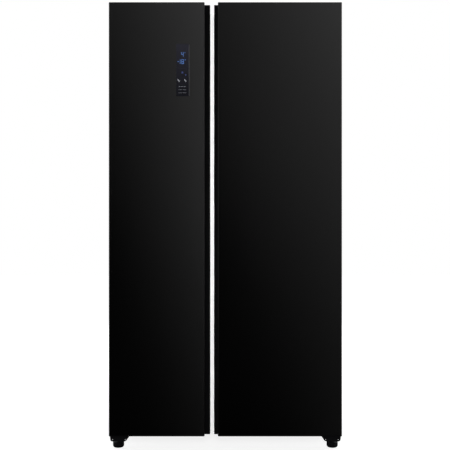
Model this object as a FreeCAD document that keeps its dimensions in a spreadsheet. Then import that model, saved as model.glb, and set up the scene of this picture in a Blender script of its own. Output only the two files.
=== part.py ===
"""Side by side refrigerator: a freezer on the left and a fresh-food compartment on the right, behind two
flat handleless doors whose inner edges are stepped back into full-height finger grips.

Frame: +Z up, the doors face -Y, origin on the floor under the middle of the overall box. Millimetres.
Every size that can be chosen is a cell of the spreadsheet; all places are worked out from those cells.
"""

import FreeCAD, Part
import math
import os

import Sketcher

Vector = FreeCAD.Vector
doc = FreeCAD.newDocument("SideBySideRefrigerator")

# ---------------------------------------------------------------------------------------------------------
# Driving dimensions, in millimetres (degrees where the name ends in _angle)

SIZES = {
    # the whole refrigerator
    "overall_width": 908,
    "overall_depth": 650,
    "overall_height": 1746,
    "rear_stop_depth": 8,
    # doors
    "door_thickness": 68,
    "door_stand_off": 10,
    "door_floor_gap": 57,
    "door_step_up": 24,
    "door_split": 401.75,
    "door_gap": 16,
    "door_sheet": 1,
    "door_edge_radius": 4,
    "grip_depth": 35,
    "grip_lip": 14,
    "grip_undercut": 20,
    "grip_wall": 2,
    "grip_radius": 5,
    "freezer_ledge": 21,
    "fridge_ledge": 15,
    "cap_flange": 3,
    "cap_depth": 46,
    "neck_clearance": 1.5,
    "bore_end_clearance": 1,
    "door_liner_wall": 2,
    "dyke_depth": 40,
    "dyke_width": 26,
    "dyke_side_inset": 13,
    "dyke_corner": 14,
    "dyke_edge_chamfer": 3,
    "dyke_end_inset": 9,
    "gasket_width": 18,
    "gasket_edge_inset": 2,
    "gasket_hinge_inset": 18,
    "gasket_top_inset": 12,
    "gasket_base_inset": 18,
    "gasket_base": 3,
    "gasket_fold": 3,
    "sealing_clearance": 0.3,
    # cabinet
    "sheet": 1,
    "cabinet_edge_radius": 6,
    "cabinet_floor_gap": 54,
    "side_insulation": 52,
    "top_insulation": 60,
    "bottom_insulation": 61,
    "back_insulation": 60,
    "mullion_width": 48,
    "liner_wall": 2.5,
    "liner_corner": 14,
    "rib_depth": 7,
    "rib_height": 8,
    "return_width": 38,
    "frame_sheet": 2,
    "crossmember_height": 46,
    "crossmember_depth": 60,
    "liner_flange": 30,
    "rear_bead_width": 22,
    "rear_bead_depth": 3,
    "rear_stop_width": 36,
    "rear_stop_height": 70,
    # machine room at the back, under the compartments
    "machine_room_height": 208,
    "machine_room_depth": 197,
    "machine_wall_insulation": 45,
    "tray_floor_gap": 34,
    "louvre_width": 44,
    "louvre_height": 6,
    "louvre_pitch": 15,
    # hinges
    "hinge_side_inset": 16,
    "hinge_front_inset": 35,
    "hinge_plate": 4,
    "pin_radius": 5,
    "pin_length": 18,
    "running_clearance": 0.05,
    "hinge_nose_radius": 11,
    "hinge_notch_side": 14,
    "hinge_notch_front": 24,
    "hinge_cover_height": 23,
    "hinge_cover_wall": 2,
    "hinge_cover_length": 96,
    "hinge_cover_width": 78,
    "neck_radius": 10.9,
    "upper_plate_width": 72,
    "upper_plate_depth": 83,
    "lower_leaf_width": 69,
    "lower_leaf_depth": 112,
    "lower_leaf_nose": 12,
    "apron_drop": 17,
    "apron_taper": 8.5,
    "foot_boss_radius": 10,
    "screw_head_radius": 5,
    "screw_head_height": 4,
    # feet and rollers
    "foot_side_inset": 30,
    "foot_front_inset": 63,
    "foot_radius": 22,
    "foot_height": 24,
    "foot_chamfer": 7,
    "stud_radius": 5,
    "stud_length": 30,
    "roller_radius": 20,
    "roller_width": 18,
    "roller_rear_inset": 55,
    "roller_side_inset": 30,
    "axle_radius": 4,
    "rail_width": 34,
    "rail_height": 22,
    # freezer contents
    "freezer_duct_depth": 70,
    "duct_wall": 3,
    "duct_clearance": 1,
    "shelf_glass": 4,
    "shelf_front": 97,
    "shelf_trim_height": 14,
    "shelf_trim_depth": 12,
    "shelf_side_clearance": 1.5,
    "shelf_rear_gap": 4,
    "shelf_trim_wall": 3,
    "freezer_shelf_1": 512,
    "freezer_shelf_2": 780,
    "freezer_shelf_3": 1020,
    "freezer_shelf_4": 1310,
    "drawer_wall": 3,
    "drawer_front": 100,
    "drawer_radius": 12,
    "drawer_lip": 8,
    "drawer_front_thickness": 8,
    "drawer_side_clearance": 10,
    "drawer_flange": 6,
    "drawer_flange_setback": 40,
    "drawer_rear_gap": 6,
    "slide_clearance": 0.3,
    "drawer_floor_gap": 7,
    "lower_drawer_height": 165,
    "drawer_headroom": 18,
    "drawer_grip_height": 20,
    # ice maker on the third freezer shelf
    "ice_frame_width": 250,
    "ice_frame_rear_gap": 57,
    "ice_frame_height": 200,
    "ice_frame_setback": 127,
    "ice_axle_radius": 6,
    "ice_axle_drop": 58,
    "ice_knob_radius": 18,
    "ice_knob_depth": 13,
    "ice_cell_wall": 3,
    "ice_frame_wall": 3,
    "ice_tray_width": 96,
    "ice_tray_height": 32,
    "ice_cell_columns": 2,
    "ice_cell_rows": 5,
    "ice_bin_height": 72,
    # fresh-food contents
    "fridge_duct_depth": 24,
    "fridge_shelf_1": 512,
    "fridge_shelf_2": 760,
    "fridge_shelf_3": 1010,
    "fridge_shelf_4": 1250,
    "fridge_shelf_5": 1450,
    # door bins
    "bin_depth": 90,
    "bin_side_clearance": 0.5,
    "bin_height": 95,
    "bin_wall": 3,
    "bin_corner": 14,
    "bin_lug": 8,
    "bin_lug_height": 10,
    "bin_lug_depth": 24,
    "bins_per_door": 4,
    "bin_base": 185,
    "bin_pitch": 360,
    # control panel in the freezer door
    "panel_width": 51,
    "panel_height": 204,
    "panel_edge_inset": 59,
    "panel_top_inset": 162,
    "panel_lens": 2.5,
    "panel_recess": 0.3,
    "panel_radius": 3,
    "panel_flange": 4,
    "panel_housing_depth": 22,
    "panel_clearance": 0.2,
    # cooling system
    "compressor_radius": 80,
    "compressor_height": 150,
    "compressor_foot": 4,
    "compressor_dome": 30,
    "compressor_offset": 230,
    "grommet_height": 14,
    "grommet_radius": 11,
    "fan_radius": 54,
    "fan_hub_radius": 16,
    "fan_depth": 26,
    "fan_blades": 5,
    "fan_pitch_angle": 30,
    "fan_chord": 30,
    "fan_camber": 2.5,
    "fan_blade_thickness": 1.6,
    "fan_tip_clearance": 3,
    "fan_frame_wall": 6,
    "fan_shaft_radius": 3,
    "fan_motor_gap": 2,
    "fan_strut": 8,
    "fan_plate": 4,
    "evaporator_base_gap": 40,
    "evaporator_height": 420,
    "evaporator_depth": 48,
    "evaporator_width": 290,
    "evaporator_fins": 11,
    "fin_edge": 7,
    "fin_thickness": 2,
    "tube_radius": 4,
    "condenser_width": 150,
    "condenser_height": 130,
    "condenser_fins": 9,
    "condenser_offset": 90,
    "pan_height": 36,
    "pan_width": 150,
    "pan_wall": 2,
    "pan_offset": -110,
    "control_box_width": 110,
    "control_box_height": 130,
    "control_box_depth": 40,
    "control_box_side_gap": 37,
    "lamp_width": 130,
    "lamp_depth": 40,
    "lamp_height": 6,
    "gland_radius": 11,
    "gland_side_inset": 47,
}

sheet = doc.addObject("Spreadsheet::Sheet", "Sizes")
for row, (name, number) in enumerate(SIZES.items(), start=1):
    sheet.set(f"A{row}", name)
    sheet.set(f"B{row}", str(number))
    sheet.setAlias(f"B{row}", name)
doc.recompute()


class Size:
    """A length that carries both its number and the spreadsheet expression it is worked out from."""

    def __init__(self, text, number):
        self.text = text
        self.number = float(number)

    @staticmethod
    def of(value):
        return value if isinstance(value, Size) else Size(repr(float(value)), value)

    def __add__(self, other):
        other = Size.of(other)
        return Size(f"({self.text} + {other.text})", self.number + other.number)

    def __sub__(self, other):
        other = Size.of(other)
        return Size(f"({self.text} - {other.text})", self.number - other.number)

    def __mul__(self, other):
        other = Size.of(other)
        return Size(f"({self.text} * {other.text})", self.number * other.number)

    def __truediv__(self, other):
        other = Size.of(other)
        return Size(f"({self.text} / {other.text})", self.number / other.number)

    def __radd__(self, other):
        return Size.of(other) + self

    def __rsub__(self, other):
        return Size.of(other) - self

    def __rmul__(self, other):
        return Size.of(other) * self

    def __neg__(self):
        return Size(f"(0 - {self.text})", -self.number)


class Cells:
    """Reads a cell of the spreadsheet as a Size: cells.door_gap and so on."""

    def __getattr__(self, name):
        return Size(f"Sizes.{name}", sheet.get(name))


cells = Cells()

# ---------------------------------------------------------------------------------------------------------
# Making sketches and features whose every size follows the spreadsheet

PLANES = {"XY": ("XY_Plane", 1), "XZ": ("XZ_Plane", -1), "YZ": ("YZ_Plane", 1)}
# how sketch constraints number the origin's point and the two ends of a line or an arc
ORIGIN_POINT = (-1, 1)
ENDS = {"start": 1, "end": 2}
NODES = {}


def bind(item, prop, size):
    item.setExpression(prop, Size.of(size).text)


def new_body(label):
    body = doc.addObject("PartDesign::Body", label)
    body.Label = label
    return body


def origin_part(body, role):
    return next(item for item in body.Origin.OriginFeatures if item.Role == role)


def rectangle(x_low, y_low, x_high, y_high, radius=None):
    corners = [(x_low, y_low), (x_high, y_low), (x_high, y_high), (x_low, y_high)]
    return [corner + (radius,) for corner in corners]


def bevelled(x_low, y_low, x_high, y_high, corner):
    """The corners of a rectangle whose own corners are cut off at 45 degrees."""
    return [
        (x_low + corner, y_low),
        (x_high - corner, y_low),
        (x_high, y_low + corner),
        (x_high, y_high - corner),
        (x_high - corner, y_high),
        (x_low + corner, y_high),
        (x_low, y_high - corner),
        (x_low, y_low + corner),
    ]


def polygon(x, y, radius, sides):
    """The corners of a regular polygon about a centre."""
    turns = [2 * math.pi * (number + 0.5) / sides for number in range(sides)]
    return [(x + radius * round(math.cos(turn), 6), y + radius * round(math.sin(turn), 6)) for turn in turns]


def circle(x, y, radius):
    return {"centre": (x, y), "radius": radius}


def fix_point(sketch, geometry, point, x, y):
    """Dimensions a point from the sketch's own origin."""
    for kind, size in (("DistanceX", Size.of(x)), ("DistanceY", Size.of(y))):
        index = sketch.addConstraint(
            Sketcher.Constraint(kind, *ORIGIN_POINT, geometry, point, size.number)
        )
        sketch.setExpression(f"Constraints[{index}]", size.text)


def draw_circle(sketch, loop):
    x, y = (Size.of(value) for value in loop["centre"])
    radius = Size.of(loop["radius"])
    centre = Vector(x.number, y.number, 0)
    ring = sketch.addGeometry(Part.Circle(centre, Vector(0, 0, 1), radius.number))
    fix_point(sketch, ring, 3, x, y)
    index = sketch.addConstraint(Sketcher.Constraint("Radius", ring, radius.number))
    sketch.setExpression(f"Constraints[{index}]", radius.text)


def corner_arc(before, corner, after, radius):
    """The start, middle and end of the arc that rounds a corner, and whether it turns left."""
    arriving = (corner - before).normalize()
    leaving = (after - corner).normalize()
    turn = math.atan2(arriving.cross(leaving).z, arriving.dot(leaving))
    start = corner - arriving * (radius * math.tan(abs(turn) / 2))
    end = corner + leaving * (radius * math.tan(abs(turn) / 2))
    inward = (leaving - arriving).normalize()
    middle = corner + inward * (radius / math.cos(turn / 2) - radius)
    return start, middle, end, turn > 0


def draw_outline(sketch, corners, closed=True):
    """Lines between corners (x, y) or (x, y, radius); a corner with a radius gets a tangent arc."""
    count = len(corners)
    points = [Vector(Size.of(c[0]).number, Size.of(c[1]).number, 0) for c in corners]
    radii = [c[2] if len(c) > 2 else None for c in corners]
    starts, ends, arcs = list(points), list(points), {}
    for i, radius in enumerate(radii):
        if radius is not None:
            around = points[i - 1], points[i], points[(i + 1) % count]
            start, middle, end, left = corner_arc(*around, Size.of(radius).number)
            ends[i], starts[i] = start, end
            arcs[i] = (start, middle, end, left)
    sides = count if closed else count - 1
    lines = [
        sketch.addGeometry(Part.LineSegment(starts[i], ends[(i + 1) % count])) for i in range(sides)
    ]
    for i, (x, y, *_) in enumerate(corners):
        if not closed and i == 0:
            fix_point(sketch, lines[0], ENDS["start"], x, y)
            continue
        if not closed and i == count - 1:
            fix_point(sketch, lines[-1], ENDS["end"], x, y)
            continue
        arriving, leaving = lines[i - 1], lines[i]
        if i not in arcs:
            sketch.addConstraint(
                Sketcher.Constraint("Coincident", arriving, ENDS["end"], leaving, ENDS["start"])
            )
            fix_point(sketch, leaving, ENDS["start"], x, y)
            continue
        start, middle, end, left = arcs[i]
        arc = sketch.addGeometry(Part.Arc(start, middle, end))
        corner = sketch.addGeometry(Part.Point(points[i]), True)
        first, last = ("start", "end") if left else ("end", "start")
        sketch.addConstraint(Sketcher.Constraint("Tangent", arriving, ENDS["end"], arc, ENDS[first]))
        sketch.addConstraint(Sketcher.Constraint("Tangent", arc, ENDS[last], leaving, ENDS["start"]))
        sketch.addConstraint(Sketcher.Constraint("PointOnObject", corner, 1, arriving))
        sketch.addConstraint(Sketcher.Constraint("PointOnObject", corner, 1, leaving))
        fix_point(sketch, corner, 1, x, y)
        radius = Size.of(radii[i])
        index = sketch.addConstraint(Sketcher.Constraint("Radius", arc, radius.number))
        sketch.setExpression(f"Constraints[{index}]", radius.text)


def new_sketch(body, name, plane, offset=(0, 0, 0), closed=True, loops=()):
    role, _ = PLANES[plane]
    sketch = body.newObject("Sketcher::SketchObject", f"{name}_sketch")
    sketch.AttachmentSupport = [(origin_part(body, role), "")]
    sketch.MapMode = "FlatFace"
    for letter, value in zip("xyz", offset):
        if isinstance(value, Size):
            bind(sketch, f"AttachmentOffset.Base.{letter}", value)
    for loop in loops:
        if isinstance(loop, dict):
            draw_circle(sketch, loop)
        else:
            draw_outline(sketch, [c[:2] if len(c) > 2 and c[2] is None else c for c in loop], closed)
    return sketch


def pad(body, name, plane, low, high, loops):
    """Adds the outlines between two places along the axis that the plane faces."""
    low, high = Size.of(low), Size.of(high)
    start = low if PLANES[plane][1] > 0 else -high
    feature = body.newObject("PartDesign::Pad", name)
    feature.Profile = new_sketch(body, name, plane, (0, 0, start), loops=loops)
    bind(feature, "Length", high - low)
    return feature


def pocket(body, name, plane, low, high, loops):
    """Cuts the outlines away between two places along the axis that the plane faces."""
    low, high = Size.of(low), Size.of(high)
    start = high if PLANES[plane][1] > 0 else -low
    feature = body.newObject("PartDesign::Pocket", name)
    feature.Profile = new_sketch(body, name, plane, (0, 0, start), loops=loops)
    bind(feature, "Length", high - low)
    return feature


def revolve(body, name, plane, centre, loops, axis="V_Axis"):
    """Turns outlines drawn about a centre (given along the plane's own x, y and normal)."""
    feature = body.newObject("PartDesign::Revolution", name)
    sketch = new_sketch(body, name, plane, centre, loops=loops)
    feature.Profile = sketch
    feature.ReferenceAxis = (sketch, [axis])
    feature.Angle = 360
    return feature


def line_up(body, name, feature, role, span, count):
    """Repeats a feature along one of the body's axes, over a span, first and last included."""
    pattern = body.newObject("PartDesign::LinearPattern", name)
    pattern.Originals = [feature]
    pattern.Direction = (origin_part(body, role), [""])
    bind(pattern, "Length", span)
    bind(pattern, "Occurrences", count)
    body.Tip = pattern
    return pattern


def round_edges(body, name, radius, chosen, kind="Fillet"):
    """Rounds (or chamfers) the edges of the body so far for which chosen(edge) is true."""
    doc.recompute()
    base = body.Tip
    edges = [f"Edge{i}" for i, edge in enumerate(base.Shape.Edges, start=1) if chosen(edge)]
    if not edges:
        raise ValueError(f"{body.Label}: {name} finds no edge")
    feature = body.newObject(f"PartDesign::{kind}", name)
    feature.Base = (base, edges)
    bind(feature, "Radius" if kind == "Fillet" else "Size", radius)
    return feature


def runs_along(edge, axis):
    if edge.Curve.TypeId != "Part::GeomLine":
        return False
    step = edge.Vertexes[-1].Point - edge.Vertexes[0].Point
    return abs(getattr(step, axis)) > 0.999 * step.Length


def lies_at(edge, **places):
    """True where every end of the edge has the given x, y or z."""
    near = 0.01
    return all(
        abs(getattr(vertex.Point, axis) - Size.of(place).number) < near
        for vertex in edge.Vertexes
        for axis, place in places.items()
    )


def span(one, other):
    """The two places in rising order."""
    return sorted((Size.of(one), Size.of(other)), key=lambda size: size.number)


def place(item, x, y, z):
    for letter, value in zip("xyz", (x, y, z)):
        bind(item, f"Placement.Base.{letter}", value)
    return item


def box(name, x, y, z):
    """A Part box between (low, high) pairs."""
    item = doc.addObject("Part::Box", name)
    for prop, (low, high) in zip(("Length", "Width", "Height"), (x, y, z)):
        bind(item, prop, Size.of(high) - low)
    return place(item, x[0], y[0], z[0])


TURNED = {
    "x": FreeCAD.Rotation(Vector(0, 1, 0), 90),
    "y": FreeCAD.Rotation(Vector(1, 0, 0), -90),
    "z": FreeCAD.Rotation(),
}


def rod(name, axis, radius, low, high, x=0, y=0, z=0):
    """A Part cylinder along an axis, from low to high on it."""
    item = doc.addObject("Part::Cylinder", name)
    item.Placement = FreeCAD.Placement(Vector(), TURNED[axis])
    bind(item, "Radius", radius)
    bind(item, "Height", Size.of(high) - low)
    centre = {"x": x, "y": y, "z": z}
    centre[axis] = low
    return place(item, centre["x"], centre["y"], centre["z"])


def combine(kind, label, items):
    """One node made of several objects: Compound keeps them apart, MultiFuse joins them."""
    item = doc.addObject(f"Part::{kind}", label)
    item.Label = label
    setattr(item, "Links" if kind == "Compound" else "Shapes", items)
    return item


def cut(label, base, tools):
    """The base with the tools taken away."""
    for number, tool in enumerate(tools, start=1):
        item = doc.addObject("Part::Cut", label if number == len(tools) else f"{label}_less_{number}")
        item.Base = base
        item.Tool = tool
        base = item
    base.Label = label
    return base


def node(item):
    """Marks a finished sub-part, which is written to its own file."""
    NODES[item.Label] = item
    return item


# ---------------------------------------------------------------------------------------------------------
# Places worked out from the driving dimensions

half_width = cells.overall_width / 2
front = -(cells.overall_depth / 2)
rear = cells.overall_depth / 2
door_back = front + cells.door_thickness
cabinet_front = door_back + cells.door_stand_off
cabinet_rear = rear - cells.rear_stop_depth
door_base = cells.door_floor_gap
door_top = cells.overall_height
cabinet_top = door_top - cells.door_step_up
cabinet_base = cells.cabinet_floor_gap

gap_centre = cells.door_split - half_width
mullion_left = gap_centre - cells.mullion_width / 2
mullion_right = gap_centre + cells.mullion_width / 2
inner_left = cells.side_insulation - half_width
inner_right = half_width - cells.side_insulation
inner_base = cabinet_base + cells.bottom_insulation
inner_top = cabinet_top - cells.top_insulation
inner_rear = cabinet_rear - cells.back_insulation
machine_top = cabinet_base + cells.machine_room_height
machine_front = cabinet_rear - cells.machine_room_depth
hump_top = machine_top + cells.machine_wall_insulation
hump_front = machine_front - cells.machine_wall_insulation

hinge_x = half_width - cells.hinge_side_inset
hinge_y = front + cells.hinge_front_inset
foot_x = half_width - cells.foot_side_inset
foot_y = front + cells.foot_front_inset

# ---------------------------------------------------------------------------------------------------------
# Cabinet: a folded steel wrapper, two moulded liners in it, and foam between them


def make_wrapper():
    """Sides and top folded from one sheet, with hemmed returns in front that the gaskets seal on."""
    body = new_body("cabinet_wrapper")
    skin, curve = cells.sheet, cells.cabinet_edge_radius
    fold = [
        (-half_width, cabinet_base),
        (-half_width, cabinet_top, curve),
        (half_width, cabinet_top, curve),
        (half_width, cabinet_base),
    ]

    def inside(depth, radius=None):
        side, top = half_width - depth, cabinet_top - depth
        return [(side, cabinet_base), (side, top, radius), (-side, top, radius), (-side, cabinet_base)]

    shell = fold + inside(skin, curve - skin)
    pad(body, "wrapped_sheet", "XZ", cabinet_front, cabinet_rear, [shell])
    returns = fold + [c[:2] for c in inside(cells.return_width)]
    pad(body, "front_returns", "XZ", cabinet_front, cabinet_front + cells.frame_sheet, [returns])
    return node(body)


def make_rear_panel():
    """Flat steel back with embossed stiffening beads."""
    body = new_body("rear_panel")
    side = half_width - cells.sheet
    base, top = machine_top, cabinet_top - cells.sheet
    curve = cells.cabinet_edge_radius - cells.sheet
    outline = [(-side, base), (side, base), (side, top, curve), (-side, top, curve)]
    pad(body, "panel", "XZ", cabinet_rear - cells.sheet, cabinet_rear, [outline])
    bead = cells.rear_bead_width
    margin = cells.back_insulation * 2
    left = -side + margin
    outline = [
        (left, base + margin),
        (left + bead / 2, base + margin - bead / 2),
        (left + bead, base + margin),
        (left + bead, top - margin),
        (left + bead / 2, top - margin + bead / 2),
        (left, top - margin),
    ]
    first = pad(body, "bead", "XZ", cabinet_rear, cabinet_rear + cells.rear_bead_depth, [outline])
    line_up(body, "beads", first, "X_Axis", side * 2 - margin * 2 - bead, 4)
    return node(body)


def make_rear_spacers():
    """Plastic blocks that hold the refrigerator off the wall."""
    blocks = []
    low = cabinet_top - cells.back_insulation - cells.rear_stop_height
    for side in (-1, 1):
        body = new_body(f"spacer_{'left' if side < 0 else 'right'}")
        centre = half_width * side / 2
        half = cells.rear_stop_width / 2
        outline = rectangle(centre - half, low, centre + half, low + cells.rear_stop_height)
        pad(body, "block", "XZ", cabinet_rear, rear, [outline])
        blocks.append(body)
    return node(combine("Compound", "rear_spacers", blocks))


def make_base_pan():
    """Steel floor that steps up over the machine room and closes the foam from below."""
    body = new_body("base_pan")
    skin = cells.sheet
    start = cabinet_front + cells.crossmember_depth
    profile = [
        (start, cabinet_base),
        (machine_front, cabinet_base),
        (machine_front, machine_top),
        (cabinet_rear - skin, machine_top),
        (cabinet_rear - skin, machine_top + skin),
        (machine_front - skin, machine_top + skin),
        (machine_front - skin, cabinet_base + skin),
        (start, cabinet_base + skin),
    ]
    side = half_width - skin
    pad(body, "stepped_floor", "YZ", -side, side, [profile])
    return node(body)


def make_crossmember():
    """Angle of thicker steel along the bottom front edge, which carries the lower hinges."""
    body = new_body("front_crossmember")
    thick = cells.frame_sheet
    back = cabinet_front + cells.crossmember_depth
    top = cabinet_base + cells.crossmember_height
    profile = [
        (cabinet_front, cabinet_base),
        (back, cabinet_base),
        (back, cabinet_base + thick),
        (cabinet_front + thick, cabinet_base + thick, thick),
        (cabinet_front + thick, top),
        (cabinet_front, top),
    ]
    side = half_width - cells.return_width
    pad(body, "folded_angle", "YZ", -side, side, [profile])
    return node(body)


def make_mullion_cover():
    """Pale steel strip over the wall between the two compartments."""
    body = new_body("mullion_cover")
    thick, lap = cells.frame_sheet, cells.mullion_width / 12
    low, high = cabinet_base + cells.crossmember_height, cabinet_top - cells.return_width
    strip = rectangle(mullion_left + lap, low, mullion_right - lap, high)
    pad(body, "strip", "XZ", cabinet_front, cabinet_front + thick, [strip])
    return node(body)


# how much a 45-degree bevel grows for each millimetre that its outline is drawn outwards
BEVEL_GROWTH = 2 - math.sqrt(2)


def compartment_form(name, left, right, grow=0):
    """The solid form of a compartment, with the step over the machine room; grow makes the outside."""
    body = new_body(name)
    profile = [
        (cabinet_front + cells.frame_sheet, inner_base - grow),
        (hump_front + grow, inner_base - grow),
        (hump_front + grow, hump_top - grow),
        (inner_rear + grow, hump_top - grow),
        (inner_rear + grow, inner_top + grow),
        (cabinet_front + cells.frame_sheet, inner_top + grow),
    ]
    pad(body, "form", "YZ", left - grow, right + grow, [profile])

    def corner_edge(edge):
        return runs_along(edge, "y") and not lies_at(edge, z=hump_top - grow)

    round_edges(body, "corners", cells.liner_corner + grow * BEVEL_GROWTH, corner_edge, "Chamfer")
    return body


def make_liner(name, left, right, flange_left, flange_right, ledges):
    """One thermoformed liner: walls, front flange and the ribs that shelves and drawers run on."""
    wall, rib = cells.liner_wall, cells.rib_depth
    mouth = cabinet_front + cells.frame_sheet
    outside = compartment_form(f"{name}_outside", left, right, wall)
    inside = compartment_form(f"{name}_inside", left, right)
    flange = box(
        f"{name}_flange",
        (flange_left, flange_right),
        (mouth, mouth + wall),
        (inner_base - cells.liner_flange, inner_top + cells.liner_flange),
    )
    walls = cut(f"{name}_walls", combine("MultiFuse", f"{name}_raw", [outside, flange]), [inside])
    ribs = [
        box(
            f"{name}_rib",
            span(wall_x - wall / 2 * side, wall_x + rib * side),
            (start, end),
            (top - cells.rib_height, top),
        )
        for top, start, end in ledges
        for wall_x, side in ((left, 1), (right, -1))
    ]
    return node(combine("MultiFuse", name, [walls] + ribs))


drawer_start = cabinet_front + cells.drawer_front
shelf_start = cabinet_front + cells.shelf_front
duct_front = inner_rear - cells.freezer_duct_depth
lower_drawer_base = inner_base + cells.drawer_floor_gap
lower_drawer_top = lower_drawer_base + cells.lower_drawer_height
upper_drawer_base = hump_top + cells.drawer_floor_gap
freezer_drawer_top = cells.freezer_shelf_1 - cells.drawer_headroom
crisper_top = cells.fridge_shelf_1 - cells.drawer_headroom
drawer_rail_drop = cells.drawer_wall + cells.slide_clearance
freezer_shelf_tops = [
    cells.freezer_shelf_1,
    cells.freezer_shelf_2,
    cells.freezer_shelf_3,
    cells.freezer_shelf_4,
]
fridge_shelf_tops = [
    cells.fridge_shelf_1,
    cells.fridge_shelf_2,
    cells.fridge_shelf_3,
    cells.fridge_shelf_4,
    cells.fridge_shelf_5,
]


def rib_list(shelf_tops, drawer_top, back):
    """(top, front, back) of every pair of ribs in a compartment."""
    inset = cells.shelf_trim_depth * 2
    shelves = [(top - cells.shelf_glass, shelf_start + inset, back) for top in shelf_tops]
    start = drawer_start + cells.drawer_front_thickness + cells.slide_clearance
    drawers = [
        (lower_drawer_top - drawer_rail_drop, start, hump_front),
        (drawer_top - drawer_rail_drop, start, back),
    ]
    return shelves + drawers


def make_foam(tools):
    """Foam between the wrapper and the liners, cut to whatever it is blown against."""
    body = new_body("foam_block")
    skin = cells.sheet
    low = cabinet_base + skin
    mouth = cabinet_front + cells.frame_sheet
    profile = [
        (mouth, low),
        (machine_front - skin, low),
        (machine_front - skin, machine_top + skin),
        (cabinet_rear - skin, machine_top + skin),
        (cabinet_rear - skin, cabinet_top - skin),
        (mouth, cabinet_top - skin),
    ]
    side = half_width - skin
    pad(body, "block", "YZ", -side, side, [profile])
    curve = cells.cabinet_edge_radius - skin

    def upper_side_edge(edge):
        return runs_along(edge, "y") and edge.BoundBox.ZMin > (cabinet_top - skin * 2).number

    round_edges(body, "upper_edges", curve, upper_side_edge, "Chamfer")
    return node(cut("cabinet_foam", body, tools))


def make_base_rails():
    """Channels under both sides, with ears at the back that hold the roller axles."""
    rails = []
    thick = cells.frame_sheet
    half = cells.rail_width / 2
    axle_z = cells.roller_radius
    axle_y = cabinet_rear - cells.roller_rear_inset
    start = cabinet_front + cells.lower_leaf_depth
    for side, word in ((-1, "left"), (1, "right")):
        body = new_body(f"rail_{word}")
        x = (half_width - cells.roller_side_inset) * side
        low, high = cabinet_base - cells.rail_height, cabinet_base
        channel = [
            (x - half, low),
            (x - half, high),
            (x + half, high),
            (x + half, low),
            (x + half - thick, low),
            (x + half - thick, high - thick),
            (x - half + thick, high - thick),
            (x - half + thick, low),
        ]
        pad(body, "channel", "XZ", start, cabinet_rear - thick, [channel])
        ear = rectangle(axle_y - half, axle_z - half / 2, axle_y + half, low + thick)
        pad(body, "inner_ear", "YZ", x - half, x - half + thick, [ear])
        pad(body, "outer_ear", "YZ", x + half - thick, x + half, [ear])
        pad(body, "axle", "YZ", x - half, x + half, [circle(axle_y, axle_z, cells.axle_radius)])
        rails.append(body)
    return node(combine("Compound", "base_rails", rails))


def make_upper_hinges():
    """Steel plates on the cabinet top, each with a neck that reaches forward to a pin in its door."""
    hinges = []
    low, high = cabinet_top, cabinet_top + cells.hinge_plate
    reach = cells.neck_radius
    for side, word in ((-1, "left"), (1, "right")):
        body = new_body(f"upper_hinge_{word}")
        x = hinge_x * side
        edge_x = x + reach * side
        plate_x = edge_x - (cells.hinge_cover_wall + cells.slide_clearance) * side
        plate = rectangle(
            plate_x,
            cabinet_front + cells.hinge_plate,
            plate_x - cells.upper_plate_width * side,
            cabinet_front + cells.hinge_plate + cells.upper_plate_depth,
        )
        pad(body, "plate", "XY", low, high, [plate])
        nose = [
            (edge_x, hinge_y - reach, reach * 0.98),
            (x - reach * side, hinge_y - reach, reach * 0.98),
            (x - reach * side, cabinet_front + cells.hinge_plate * 2),
            (edge_x, cabinet_front + cells.hinge_plate * 2),
        ]
        pad(body, "neck", "XY", low, high, [nose])
        pin = circle(x, hinge_y, cells.pin_radius)
        pad(body, "pin", "XY", low - cells.pin_length, high, [pin])
        hinges.append(body)
    return node(combine("Compound", "upper_hinges", hinges))


def make_hinge_covers():
    """Moulded covers over the upper hinges."""
    covers = []
    wall, reach = cells.hinge_cover_wall, cells.hinge_nose_radius
    low, high = cabinet_top, cabinet_top + cells.hinge_cover_height
    arm_top = cabinet_top + cells.hinge_plate + cells.sealing_clearance
    for side, word in ((-1, "left"), (1, "right")):
        body = new_body(f"hinge_cover_{word}")
        x = hinge_x * side
        edge_x = x + reach * side
        far_x = edge_x - cells.hinge_cover_width * side
        back_y = cabinet_front + cells.hinge_cover_length
        start_y = cabinet_front + wall / 2
        main = rectangle(edge_x, start_y, far_x, back_y)
        pad(body, "main_shell", "XY", low, high, [main])
        nose = [
            (edge_x, hinge_y - reach, reach * 0.98),
            (x - reach * side, hinge_y - reach, reach * 0.98),
            (x - reach * side, start_y + wall * 4),
            (edge_x, start_y + wall * 4),
        ]
        pad(body, "nose", "XY", arm_top, high, [nose])
        round_edges(body, "top_edges", wall, lambda edge: lies_at(edge, z=high), "Chamfer")
        hollow = rectangle(
            edge_x - wall * side, start_y + wall, far_x + wall * side, back_y - wall
        )
        pocket(body, "hollow", "XY", low, high - wall, [hollow])
        slot = rectangle(edge_x, start_y - wall, x - reach * side, start_y + wall * 4)
        pocket(body, "neck_slot", "XY", low, arm_top, [slot])
        covers.append(body)
    return node(combine("Compound", "hinge_covers", covers))


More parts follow.
